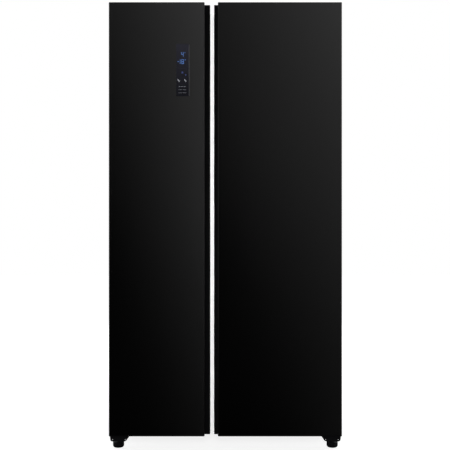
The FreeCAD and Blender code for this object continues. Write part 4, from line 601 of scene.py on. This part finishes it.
for name, marks, lamp, colour, strength in (
    ("blue_figures", blue_marks, "blue_light", (0.09, 0.2, 0.52), 0.6),
    ("cold_marks", faint_marks, "faint_light", (0.09, 0.13, 0.38), 0.4),
    ("white_keys", white_marks, "white_light", (0.6, 0.62, 0.66), 0.5),
    ("key_marks", grey_marks, "grey_light", (0.25, 0.26, 0.28), 0.4),
):
    fit(join(name, marks), "freezer_door", "display_glass", light(lamp, colour, strength))
# Painted highlight: a pale grey strip down the lens's right edge stands in for light caught by its rounded
# edge.
lens_highlight_plastic = finish(
    "lens_highlight_plastic", (0.09, 0.09, 0.096), 0.4, grain=(500, 0.1, 0.00002), Specular_IOR_Level=0.3
)
rim = slab(
    "lens_rim",
    (lens_high.x - highlight_left, lens_low.y - highlight_lift, lens_low.z + rim_and_highlight_inset),
    (lens_high.x - highlight_right, lens_low.y + highlight_sink, lens_high.z - rim_and_highlight_inset),
)
soften(rim, highlight_edge, 2, lambda at, way: at.y < lens_low.y)
fit(rim, "freezer_door", "dark_plastic", lens_highlight_plastic)
stand_in("display_housing", 0.0004, "control_panel_housing", "freezer_door", "dark_plastic", cap_plastic)

# Face of the cabinet: a pale steel cover over the mullion, the crossmember under both compartments, and a
# pale trim strip that shows in the slot between the doors. All clip over the front returns of the wrapper.
trim_thick = 0.00025
pale_paint = finish(
    "pale_paint", (0.86, 0.86, 0.86), 0.38, grain=(300, 0.08, 0.00002), shade=0.97, Specular_IOR_Level=0.3
)
stand_in("mullion_face", 0.0005, "mullion_cover", "cabinet", "pale_steel", pale_paint)
stand_in("foot_crossmember", 0.0006, "front_crossmember", "cabinet", "pale_steel", pale_paint)
strip_left, strip_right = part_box("freezer_door_grip")[1].x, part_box("fridge_door_grip")[0].x
strip_front = (strip_left, cabinet_low.y - trim_thick, cabinet_low.z)
strip = slab("slot_trim", strip_front, (strip_right, cabinet_low.y, cabinet_high.z))
white_trim = finish("white_trim", (0.97, 0.97, 0.97), 0.3, grain=(300, 0.08, 0), shade=0.98)
fit(strip, "cabinet", "pale_steel", white_trim)

# Hinge covers: two black moulded caps over the upper hinges. They clip to the hinge plates, and their edges
# are well rounded.
stand_in("hinge_caps", 0.003, "hinge_covers", "cabinet", "dark_plastic", black_plastic, segments=4)

# Lower hinges: a black steel leaf screwed under each front corner, with a pin that goes up into the door and
# a boss for the foot's stud. Its front end is bent down to an apron with two small holes.

leaf_thick, leaf_width, leaf_start, leaf_corner = 0.004, 0.069, 0.001, 0.012
apron_base, apron_overhang, apron_corner, apron_fold = 0.0315, 0.009, 0.0072, 0.003
outer_taper, inner_taper = 0.0025, 0.0155
hole_radius, hole_height, hole_insets, drill_length = 0.0015, 0.0386, (0.0105, 0.06), 0.02
pin_radius, pin_inset, pin_start, pin_seat, pin_tip = 0.005, 0.015, 0.012, 0.002, 0.0012
boss_radius, boss_length, boss_height, boss_edge = 0.0098, 0.026, 0.038, 0.0012
head_radius, head_depth, head_drop, head_round = 0.0055, 0.003, 0.001, 0.0016
head_place, head_steps = (0.405, -0.16), ((0.035, 0, 0), (-0.01, -0.065, 0))


def rod(name, middle, radius, length, vertices=32, turn=(0, 0, 0)):
    """A new piece, started as an upright cylinder, or as one that is turned."""
    rest()
    bpy.ops.mesh.primitive_cylinder_add(
        vertices=vertices, radius=radius, depth=length, location=middle, rotation=turn
    )
    bpy.ops.object.transform_apply(location=True, rotation=True, scale=True)
    piece = bpy.context.object
    piece.name = piece.data.name = name
    return piece


black_steel = finish(
    "black_steel", (0.003, 0.003, 0.0034), 0.42, grain=(240, 0.14, 0.00003), Specular_IOR_Level=0.2
)
hinge_low, hinge_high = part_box("lower_hinges")
leaf_top, leaf_base = cabinet_low.z, cabinet_low.z - leaf_thick
outside, inside = hinge_high.x, hinge_high.x - leaf_width
front, apron_inside = hinge_low.y, inside - apron_overhang
leaf = slab("leaf", (inside, front + leaf_start, leaf_base), (outside, hinge_high.y, leaf_top))
soften(leaf, leaf_corner, 5, lambda at, way: abs(way.z) > 0.9 and at.y > hinge_high.y - hair)
apron = slab("apron", (apron_inside, front, apron_base), (outside, front + leaf_thick, leaf_top))
for edge_x, taper in ((outside, -outer_taper), (apron_inside, inner_taper)):
    choose(apron, "VERT", lambda at, way: at.z < apron_base + hair and abs(at.x - edge_x) < hair)
    bpy.ops.transform.translate(value=(taper, 0, 0))
soften(apron, apron_corner, 6, lambda at, way: abs(way.y) > 0.9 and at.z < apron_base + hair)
for inset in hole_insets:
    centre = (outside - inset, front, hole_height)
    drill = rod("drill", centre, hole_radius, drill_length, 20, (math.pi / 2, 0, 0))
    modify(apron, "BOOLEAN", object=drill, operation="DIFFERENCE", solver="EXACT")
    bpy.data.objects.remove(drill)
soften(
    apron,
    apron_fold,
    4,
    lambda at, way: abs(way.x) > 0.9 and at.z > leaf_top - hair and at.y < front + hair,
)
pin_middle = (leaf_top + hinge_high.z) / 2 - pin_seat / 2
pin_length = hinge_high.z - leaf_top + pin_seat
pin = rod("pin", (outside - pin_inset, front + pin_start, pin_middle), pin_radius, pin_length)
soften(pin, pin_tip, 3, lambda at, way: at.z > hinge_high.z - hair)
foot_low, foot_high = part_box("right_foot")
foot_middle = (foot_low + foot_high) / 2
boss = rod("boss", (foot_middle.x, foot_middle.y, boss_height), boss_radius, boss_length, 6)
soften(boss, boss_edge, 2, lambda at, way: True)
screw = rod("screw", (*head_place, leaf_base - head_drop), head_radius, head_depth, 24)
soften(screw, head_round, 3, lambda at, way: at.z < leaf_base - head_drop - hair)
screws = [screw] + [again(screw, step) for step in head_steps]
lower_hinges = join("foot_hinges", [leaf, apron, pin, boss] + screws)
modify(lower_hinges, "MIRROR", use_mirror_merge=False)
fit(lower_hinges, "cabinet", "black_steel", black_steel, "lower_hinges")

# Levelling feet: a ribbed pad of black plastic with a bowl-shaped sole, on a threaded stud that screws into
# the lower hinge.

rib_count, rib_margin, groove_depth, stud_radius, stud_tip = 24, 0.0004, 0.0009, 0.005, 0.0008
pad_radius, pad_height, sole_round, crown_round = 0.022, 0.024, 0.009, 0.002


def in_groove(at, way):
    """Whether a face on the side of the pad lies between two ribs."""
    turn = math.atan2(at.y - foot_middle.y, at.x - foot_middle.x)
    return abs(way.z) < 0.1 and math.floor(turn * rib_count / math.pi) % 2


foot_plastic = finish(
    "foot_plastic", (0.003, 0.003, 0.0034), 0.5, grain=(900, 0.16, 0.00004), Specular_IOR_Level=0.16
)
pad_middle = (foot_middle.x, foot_middle.y, pad_height / 2)
pad = rod("pad", pad_middle, pad_radius, pad_height, rib_count * 2)
soften(pad, sole_round, 6, lambda at, way: at.z < hair)
soften(pad, crown_round, 3, lambda at, way: at.z > pad_height - hair)
choose(pad, "FACE", in_groove)
bpy.ops.mesh.inset(thickness=rib_margin, depth=-groove_depth, use_individual=True)
stud_middle = (foot_middle.x, foot_middle.y, (foot_high.z + pad_height) / 2)
stud = rod("stud", stud_middle, stud_radius, foot_high.z - pad_height)
soften(stud, stud_tip, 2, lambda at, way: at.z > foot_high.z - hair)
right_foot = join("right_pad", [pad, stud])
left_foot = again(right_foot, (-2 * foot_middle.x, 0, 0))
left_foot.name = left_foot.data.name = "left_pad"
fit(right_foot, "right_foot", "dark_plastic", foot_plastic, "right_foot")
fit(left_foot, "left_foot", "dark_plastic", foot_plastic, "left_foot")

# Rear rollers: plain black nylon wheels, with the edges of their treads rounded, on steel axles in the
# base rails.
for side in ("left", "right"):
    roller = f"{side}_roller"
    stand_in(f"{side}_wheel", 0.0015, roller, roller, "dark_plastic", black_plastic, segments=3)

# Compartment liners: each is one vacuum-formed sheet of glossy white plastic with rounded corners, a step
# over the machine room, pairs of ribs for the shelves and drawers, and a flange behind the cabinet's face.

liner_wall, liner_corner, flange_width = 0.0025, 0.02, 0.03
floor_z, ceiling_z, step_y, step_z, rear_y = 0.115, 1.662, 0.075, 0.307, 0.257
spaces = {"freezer": (-0.402, -0.07625), "fridge": (-0.02825, 0.402)}
glass_thick, upper_flange, lower_flange = 0.004, 0.488, 0.274
rib_start, rib_depth, rib_height, rib_round = -0.15, 0.007, 0.008, 0.002


def extrude(way):
    """Pulls the selected faces or edges out."""
    bpy.ops.mesh.extrude_region_move(TRANSFORM_OT_translate={"value": way})


white_liner = finish(
    "white_liner", (0.75, 0.76, 0.77), 0.34, grain=(180, 0.08, 0), shade=0.975, Specular_IOR_Level=0.45
)
mouth_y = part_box("freezer_liner")[0].y
for word, rib_end, shelves in (
    ("freezer", 0.187, (0.512, 0.78, 1.02, 1.31)),
    ("fridge", 0.243, (0.512, 0.76, 1.01, 1.25, 1.45)),
):
    left, right = spaces[word]
    liner = slab(f"{word}_liner_shell", (left, mouth_y, floor_z), (right, step_y, step_z))
    choose(liner, "FACE", lambda at, way: way.z > 0.9)
    extrude((0, 0, ceiling_z - step_z))
    choose(liner, "FACE", lambda at, way: way.y > 0.9 and at.z > step_z)
    extrude((0, rear_y - step_y, 0))
    drop(liner, lambda at, way: way.y < -0.9)
    modify(liner, "WELD", merge_threshold=0.00001)
    soften(
        liner,
        liner_corner,
        5,
        lambda at, way: abs(way.y) < 0.1 and at.y > mouth_y + hair
        or abs(way.y) > 0.9 and min(abs(at.x - left), abs(at.x - right)) < hair,
    )
    choose(liner, "EDGE", lambda at, way: False)
    bpy.ops.mesh.select_non_manifold(extend=False, use_wire=False, use_boundary=True, use_multi_face=False)
    extrude((0, 0, 0))
    wide, tall = right - left, ceiling_z - floor_z
    bpy.ops.transform.resize(
        value=((wide + 2 * flange_width) / wide, 1, (tall + 2 * flange_width) / tall),
        center_override=((left + right) / 2, mouth_y, (floor_z + ceiling_z) / 2),
    )
    modify(liner, "SOLIDIFY", thickness=liner_wall, offset=1)
    shell = [liner]
    ribs = [(shelf - glass_thick, rib_end) for shelf in shelves]
    for top, far in ribs + [(upper_flange, rib_end), (lower_flange, step_y)]:
        for wall, inward in ((left, 1), (right, -1)):
            ends = sorted((wall, wall + rib_depth * inward))
            rib = slab("rib", (ends[0], rib_start, top - rib_height), (ends[1], far, top))
            soften(rib, rib_round, 3, lambda at, way: abs(at.x - wall) > rib_depth / 2)
            shell.append(rib)
    fit(join(f"{word}_liner_shell", shell), "cabinet", "white_liner", white_liner, f"{word}_liner")

# Foam: rigid polyurethane that is blown in between the liner and the wrapper and fills the doors. It glues
# the skins to the liners and hardens to a fine yellow cell.
foam = finish("foam", (0.78, 0.68, 0.42), 0.9, grain=(1500, 0.1, 0.0003), shade=0.8)
for node in ("cabinet_foam", "freezer_door_foam", "fridge_door_foam"):
    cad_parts[node].data.materials.clear()
    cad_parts[node].data.materials.append(foam)

# Door liners: a vacuum-formed white sheet with a raised hollow ring that reaches into the compartment, and
# small lugs on the ring's inner sides that carry the bins.

ring_height, ring_width, ring_corner, ring_side, ring_end = 0.04, 0.026, 0.022, 0.013, 0.009
crest_round, foot_round, foot_reach, inner_sheet = 0.008, 0.004, 0.001, 0.002
bin_count, bin_pitch, first_bin = 4, 0.36, 0.185
bin_floors = [first_bin + bin_pitch * number for number in range(bin_count)]
lug_depth, lug_height, lug_reach, lug_round = 0.008, 0.01, 0.024, 0.002


def within(outline, at, reach=0.0):
    """Whether a place lies inside an upright rectangle, or close enough to it."""
    x_low, x_high, z_low, z_high = outline
    return x_low - reach < at.x < x_high + reach and z_low - reach < at.z < z_high + reach


for word, (left, right) in spaces.items():
    low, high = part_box(f"{word}_door_liner")
    sheet_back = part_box(f"{word}_door_skin")[1].y
    sheet = slab(f"{word}_door_inner", low, (high.x, sheet_back, high.z))
    drop(sheet, lambda at, way: way.y < 0.9)
    outside = (left + ring_side, right - ring_side, floor_z + ring_end, ceiling_z - ring_end)
    inside = [place + ring_width * way for place, way in zip(outside, (1, -1, 1, -1))]
    for outline in (outside, inside):
        slit_round(sheet, *outline, lambda at, way: True)
    choose(sheet, "FACE", lambda at, way: within(outside, at) and not within(inside, at))
    extrude((0, ring_height, 0))
    take(sheet)
    bpy.ops.object.mode_set(mode="EDIT")
    bpy.ops.mesh.select_all(action="SELECT")
    bpy.ops.mesh.dissolve_limited(angle_limit=math.radians(1))
    soften(sheet, ring_corner, 5, lambda at, way: abs(way.y) > 0.9)
    crest = sheet_back + ring_height
    soften(sheet, crest_round, 4, lambda at, way: at.y > crest - hair)
    soften(
        sheet, foot_round, 2, lambda at, way: at.y < sheet_back + hair and within(outside, at, foot_reach)
    )
    modify(sheet, "SOLIDIFY", thickness=inner_sheet, offset=-1)
    shell = [sheet]
    tip = sheet_back + lug_reach
    for floor in bin_floors:
        for wall, inward in ((inside[0], 1), (inside[1], -1)):
            ends = sorted((wall, wall + lug_depth * inward))
            lug = slab("lug", (ends[0], sheet_back, floor - lug_height), (ends[1], tip, floor))
            soften(lug, lug_round, 3, lambda at, way: abs(at.x - wall) > lug_depth / 2 or at.y > tip - hair)
            shell.append(lug)
    inner = join(f"{word}_door_inner", shell)
    fit(inner, f"{word}_door", "white_liner", white_liner, f"{word}_door_liner")

# Gaskets: a soft white magnetic seal, pressed into the door liner's groove, with a folded neck that lets the
# magnet reach the cabinet.
seal = finish(
    "seal", (0.6, 0.6, 0.59), 0.62, grain=(500, 0.12, 0.00004), shade=0.93, Specular_IOR_Level=0.3
)
for word in ("freezer", "fridge"):
    door = f"{word}_door"
    stand_in(f"{word}_seal", 0.0009, f"{door}_gasket", door, "pale_gasket", seal, segments=3)

# Door bins: clear moulded trays that stand on the lugs, with rounded front corners, a curved floor edge and a
# thicker rim inside the top of the front.

bin_height, bin_depth, bin_wall, bin_play, bin_corner, bin_edge = 0.095, 0.09, 0.003, 0.0005, 0.016, 0.006
rim_depth, rim_height, rim_and_highlight_inset, rim_start, rim_round = 0.006, 0.004, 0.013, 0.0005, 0.0015


def clear(name, tint, rough, index=1.49):
    """Clear moulded plastic or glass with a faint tint, which lets most light through to what is in it."""
    material = finish(
        name, tint, rough, grain=(240, 0.05, 0), shade=0.985, Transmission_Weight=0.94, IOR=index
    )
    tree, let_through = material.node_tree, 0.9
    shadow_ray = wire(tree, "LightPath").outputs["Is Shadow Ray"]
    solid = reckon(tree, "MULTIPLY_ADD", shadow_ray, -let_through, 1)
    fill(tree, tree.nodes["Principled BSDF"], {"Alpha": solid})
    return material


clear_plastic = clear("clear_plastic", (0.96, 0.975, 0.985), 0.04)
bin_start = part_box("freezer_door_skin")[1].y
floor, front = bin_floors[0], bin_start + bin_depth
top, bin_side = floor + bin_height, ring_side + ring_width + bin_play
for word, (left, right) in spaces.items():
    bin_left, bin_right = left + bin_side, right - bin_side
    bin_shell = slab("bin", (bin_left, bin_start, floor), (bin_right, front, top))
    soften(bin_shell, bin_corner, 5, lambda at, way: abs(way.z) > 0.9 and at.y > front - hair)
    soften(bin_shell, bin_edge, 4, lambda at, way: abs(way.z) < 0.5 and at.z < floor + hair)
    drop(bin_shell, lambda at, way: way.z > 0.9)
    modify(bin_shell, "SOLIDIFY", thickness=bin_wall, offset=-1)
    rim = slab(
        "rim",
        (bin_left + rim_and_highlight_inset, front - rim_depth, top - rim_height),
        (bin_right - rim_and_highlight_inset, front - rim_start, top),
    )
    soften(rim, rim_round, 3, lambda at, way: abs(way.x) > 0.9)
    tray = join("tray", [bin_shell, rim])
    trays = [tray] + [again(tray, (0, 0, higher - floor)) for higher in bin_floors[1:]]
    bins = join(f"{word}_bins", trays)
    fit(bins, f"{word}_door", "clear_plastic", clear_plastic, f"{word}_door_bins")

# Shelves: tempered glass plates on the liner's ribs, each held between a front and a rear trim of white
# plastic that snap over its edges.
shelf_glass = clear("shelf_glass", (0.9, 0.975, 0.955), 0.02, 1.52)
stand_in("glass_plates", 0.0006, "shelf_glass", "cabinet", "shelf_glass", shelf_glass)
stand_in("glass_trims", 0.0007, "shelf_trims", "cabinet", "white_liner", white_liner)

# Drawers and crispers: clear moulded tubs that hang by their side flanges on the liner's ribs, with a front
# that has a pull lip.
for drawer in ("freezer_drawer_lower", "freezer_drawer_upper", "crisper_lower", "crisper_upper"):
    stand_in(f"{drawer}_tub", 0.0012, drawer, drawer, "clear_plastic", clear_plastic)

# Ice maker: a white frame on a freezer shelf, a grey twist tray that turns on two journals, and a pull-out
# clear bin under it.
grey_plastic = finish(
    "grey_plastic", (0.24, 0.26, 0.29), 0.45, grain=(700, 0.12, 0.00003), shade=0.92, Specular_IOR_Level=0.4
)
stand_in("ice_frame", 0.0012, "ice_maker_frame", "cabinet", "white_liner", white_liner)
stand_in("twist_tray", 0.0006, "ice_tray", "ice_tray", "grey_plastic", grey_plastic)
stand_in("ice_tub", 0.0012, "ice_bin", "ice_bin", "clear_plastic", clear_plastic)

# Air ducts and lamps: white moulded covers with rows of slots over the air channels at the back of both
# compartments, and frosted lamp lenses under the ceilings. All clip into the liners.
for word in ("freezer", "fridge"):
    stand_in(f"{word}_duct", 0.0009, f"{word}_duct_cover", "cabinet", "white_liner", white_liner)
frosted = finish("frosted_lens", (0.92, 0.92, 0.9), 0.35, grain=(400, 0.1, 0.00004), shade=0.97)
stand_in("lamp_lenses", 0.002, "compartment_lamps", "cabinet", "lamp_lens", frosted)

# Evaporator and condenser: rows of thin aluminium fins pressed on tubes that turn back at both ends. The
# evaporator hangs behind the freezer's duct cover, and the condenser stands on the machine tray.

fin_thick, fin_corner, fin_start = 0.0005, 0.002, 0.012
tube_radius, tube_inset, tube_round = 0.0038, 0.002, 0.8
bracket_inset, bracket_half, bracket_share = 0.014, 0.007, 0.6


def finned(name, node, fins, rows, columns, gap=0.0):
    """A pack of upright fins across X, with rows of tubes through them; two brackets bridge a gap behind."""
    low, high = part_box(node)
    middle, back = (low + high) / 2, high.y - gap
    tube_length = high.x - low.x - 2 * tube_inset
    first_x = low.x + fin_start
    fin = slab("fin", (first_x, low.y, low.z), (first_x + fin_thick, back, high.z))
    soften(fin, fin_corner, 2, lambda at, way: abs(way.x) > 0.9)
    pitch = (high.x - low.x - 2 * fin_start - fin_thick) / (fins - 1)
    pieces = [fin] + [again(fin, (pitch * number, 0, 0)) for number in range(1, fins)]
    row_pitch, column_pitch = (high.z - low.z) / rows, (back - low.y) / columns
    start = (middle.x, low.y + column_pitch / 2, low.z + row_pitch / 2)
    tube = rod("tube", start, tube_radius, tube_length, 14, (0, math.pi / 2, 0))
    tube_end = tube_length / 2 - hair
    soften(tube, tube_radius * tube_round, 3, lambda at, way: abs(at.x - middle.x) > tube_end)
    for row in range(rows):
        for column in range(columns):
            if row or column:
                pieces.append(again(tube, (0, column_pitch * column, row_pitch * row)))
    pieces.append(tube)
    if gap:
        for x in (low.x + bracket_inset, high.x - bracket_inset):
            start = (x - bracket_half, back - gap * bracket_share, low.z)
            pieces.append(slab("bracket", start, (x + bracket_half, high.y, high.z)))
    return join(name, pieces)


aluminium = finish(
    "fin_aluminium", (0.74, 0.75, 0.77), 0.34, grain=(300, 0.2, 0.00002), shade=0.88, Metallic=1.0
)
cold_fins = finned("cold_fins", "evaporator", fins=46, rows=9, columns=2, gap=0.004)
fit(cold_fins, "cabinet", "fin_aluminium", aluminium, "evaporator")
warm_fins = finned("warm_fins", "condenser", fins=38, rows=5, columns=4)
fit(warm_fins, "cabinet", "fin_aluminium", aluminium, "condenser")

# Fans: black frames with a motor on struts, one behind the freezer's duct cover and one beside the
# condenser, and grey wheels of cambered blades on their shafts.
stand_in("fan_shrouds", 0.0006, "fan_frames", "cabinet", "dark_plastic", black_plastic)
for fan in ("condenser_fan_blades", "evaporator_fan_blades"):
    stand_in(f"{fan}_wheel", 0.0005, fan, fan, "grey_plastic", grey_plastic)

# Compressor: two deep-drawn steel halves welded at the waist and painted black, on a foot plate that stands
# on four rubber grommets, with a plastic cover over its terminals.
shell_x, shell_radius, shell_round = -0.23, 0.08, 0.034
plate_thick, plate_corner, plate_edge = 0.004, 0.014, 0.001
weld_height, weld_inset, weld_radius = 0.085, 0.001, 0.0028
terminal_start, terminal_half, terminal_base, terminal_top = 0.066, 0.03, 0.03, 0.09
terminal_front, terminal_edge = 0.006, 0.005
shell_paint = finish(
    "shell_paint", (0.012, 0.012, 0.013), 0.34, grain=(420, 0.14, 0.00004), Specular_IOR_Level=0.5
)
low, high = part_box("compressor")
shell_y, shell_height = (low.y + high.y) / 2, high.z - low.z - plate_thick / 2
shell = rod("shell", (shell_x, shell_y, high.z - shell_height / 2), shell_radius, shell_height, 64)
soften(shell, shell_round, 8, lambda at, way: abs(way.z) < 0.1)
rest()
bpy.ops.mesh.primitive_torus_add(
    location=(shell_x, shell_y, low.z + weld_height),
    major_radius=shell_radius - weld_inset,
    minor_radius=weld_radius,
    major_segments=64,
    minor_segments=10,
)
bpy.ops.object.transform_apply(location=True, rotation=True, scale=True)
weld = bpy.context.object
plate_top = low.z + plate_thick
plate = slab("plate", low, (2 * shell_x - low.x, high.y, plate_top))
soften(plate, plate_corner, 5, lambda at, way: abs(way.z) > 0.9)
soften(plate, plate_edge, 2, lambda at, way: abs(way.z) < 0.1 and at.z > plate_top - hair)
terminals = slab(
    "terminals",
    (shell_x + terminal_start, shell_y - terminal_half, low.z + terminal_base),
    (high.x, shell_y + terminal_half, low.z + terminal_top),
)
soften(terminals, terminal_front, 4, lambda at, way: at.x > high.x - hair)
soften(terminals, terminal_edge, 4, lambda at, way: abs(way.x) > 0.9)
compressor = join("welded_shell", [shell, weld, plate, terminals])
fit(compressor, "cabinet", "black_steel", shell_paint, "compressor")
rubber = finish(
    "soft_rubber", (0.02, 0.02, 0.02), 0.8, grain=(900, 0.1, 0.00005), Specular_IOR_Level=0.2
)
stand_in("rubber_feet", 0.0008, "machine_room_grommets", "cabinet", "soft_rubber", rubber)

# Machine room: a drain pan and a closed control box, moulded in grey plastic, and bent copper pipes that
# rise into the foam.
copper = finish(
    "copper_pipe", (0.72, 0.38, 0.24), 0.28, grain=(90, 0.2, 0.00001), shade=0.82, Metallic=1.0
)
stand_in("drip_pan", 0.0008, "drain_pan", "cabinet", "grey_plastic", grey_plastic)
stand_in("control_housing", 0.002, "control_box", "cabinet", "grey_plastic", grey_plastic)
stand_in("copper_runs", 0, "refrigerant_pipes", "cabinet", "copper_pipe", copper)

# Machine room cover: a steel sheet whose louvres are lanced and pushed out into small hoods, with the empty
# grommet where the mains lead leaves.
louvre_rows, louvre_pitch, louvre_left, louvre_step = 9, 0.015, -0.176, 0.22
louvre_width, louvre_height, louvre_lap, louvre_rise, louvre_drop = 0.132, 0.006, 0.001, 0.003, 0.7
hood_reach, hood_seat, hood_round, hood_sheet = 0.0035, 0.0002, 0.0024, 0.0008
cover = [softened("louvred_cover", 0.0003, "machine_room_cover")]
cover_low, cover_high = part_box("machine_room_cover")
slot_top, hood_front = cover_low.z + 2 * louvre_pitch + louvre_height, cover_high.y + hood_reach
hood = slab(
    "hood",
    (louvre_left - louvre_lap, cover_high.y - hood_seat, slot_top - louvre_height * louvre_drop),
    (louvre_left + louvre_width + louvre_lap, hood_front, slot_top + louvre_rise),
)
soften(
    hood,
    hood_round,
    4,
    lambda at, way: at.y > hood_front - hair and at.z > slot_top and abs(way.x) > 0.9,
)
soften(hood, hood_round, 3, lambda at, way: at.y > hood_front - hair and abs(way.x) < 0.1)
drop(hood, lambda at, way: way.z < -0.9 or way.y < -0.9)
modify(hood, "SOLIDIFY", thickness=hood_sheet, offset=-1)
for row in range(louvre_rows):
    for across in (0, louvre_step):
        if row or across:
            cover.append(again(hood, (across, 0, louvre_pitch * row)))
cover.append(hood)
fit(join("louvred_cover", cover), "cabinet", "zinc_steel", plated_steel, "machine_room_cover")

# Rear screws: pan-head screws of plated steel with a round recess, which hold the machine room cover and
# the rear panel along their edges.
screw_radius, screw_head, screw_lift, screw_round = 0.0042, 0.0022, 0.0008, 0.0014
recess_margin, recess_depth, screw_inset = 0.0012, 0.0009, 0.012
seam_places, seam_rows = (0.12, 0.3), (cover_high.z - 0.008, cover_high.z + 0.01)
screw_x, screw_rows = cover_high.x - screw_inset, (0.07, 0.24, 0.5, 0.8, 1.1, 1.4, 1.69)
places = [(side * x, z) for side in (-1, 1) for x in seam_places for z in seam_rows]
places += [(side * screw_x, z) for side in (-1, 1) for z in screw_rows]
screw_y = cover_high.y + screw_lift
first_x, first_z = places[0]
screw = rod("screw", (first_x, screw_y, first_z), screw_radius, screw_head, 24, (math.pi / 2, 0, 0))
soften(screw, screw_round, 3, lambda at, way: at.y > screw_y + hair)
choose(screw, "FACE", lambda at, way: way.y > 0.95 and at.y > screw_y + hair)
bpy.ops.mesh.inset(thickness=recess_margin, depth=-recess_depth)
screws = [screw] + [again(screw, (x - first_x, 0, z - first_z)) for x, z in places[1:]]
fit(join("cover_screws", screws), "cabinet", "zinc_steel", plated_steel)
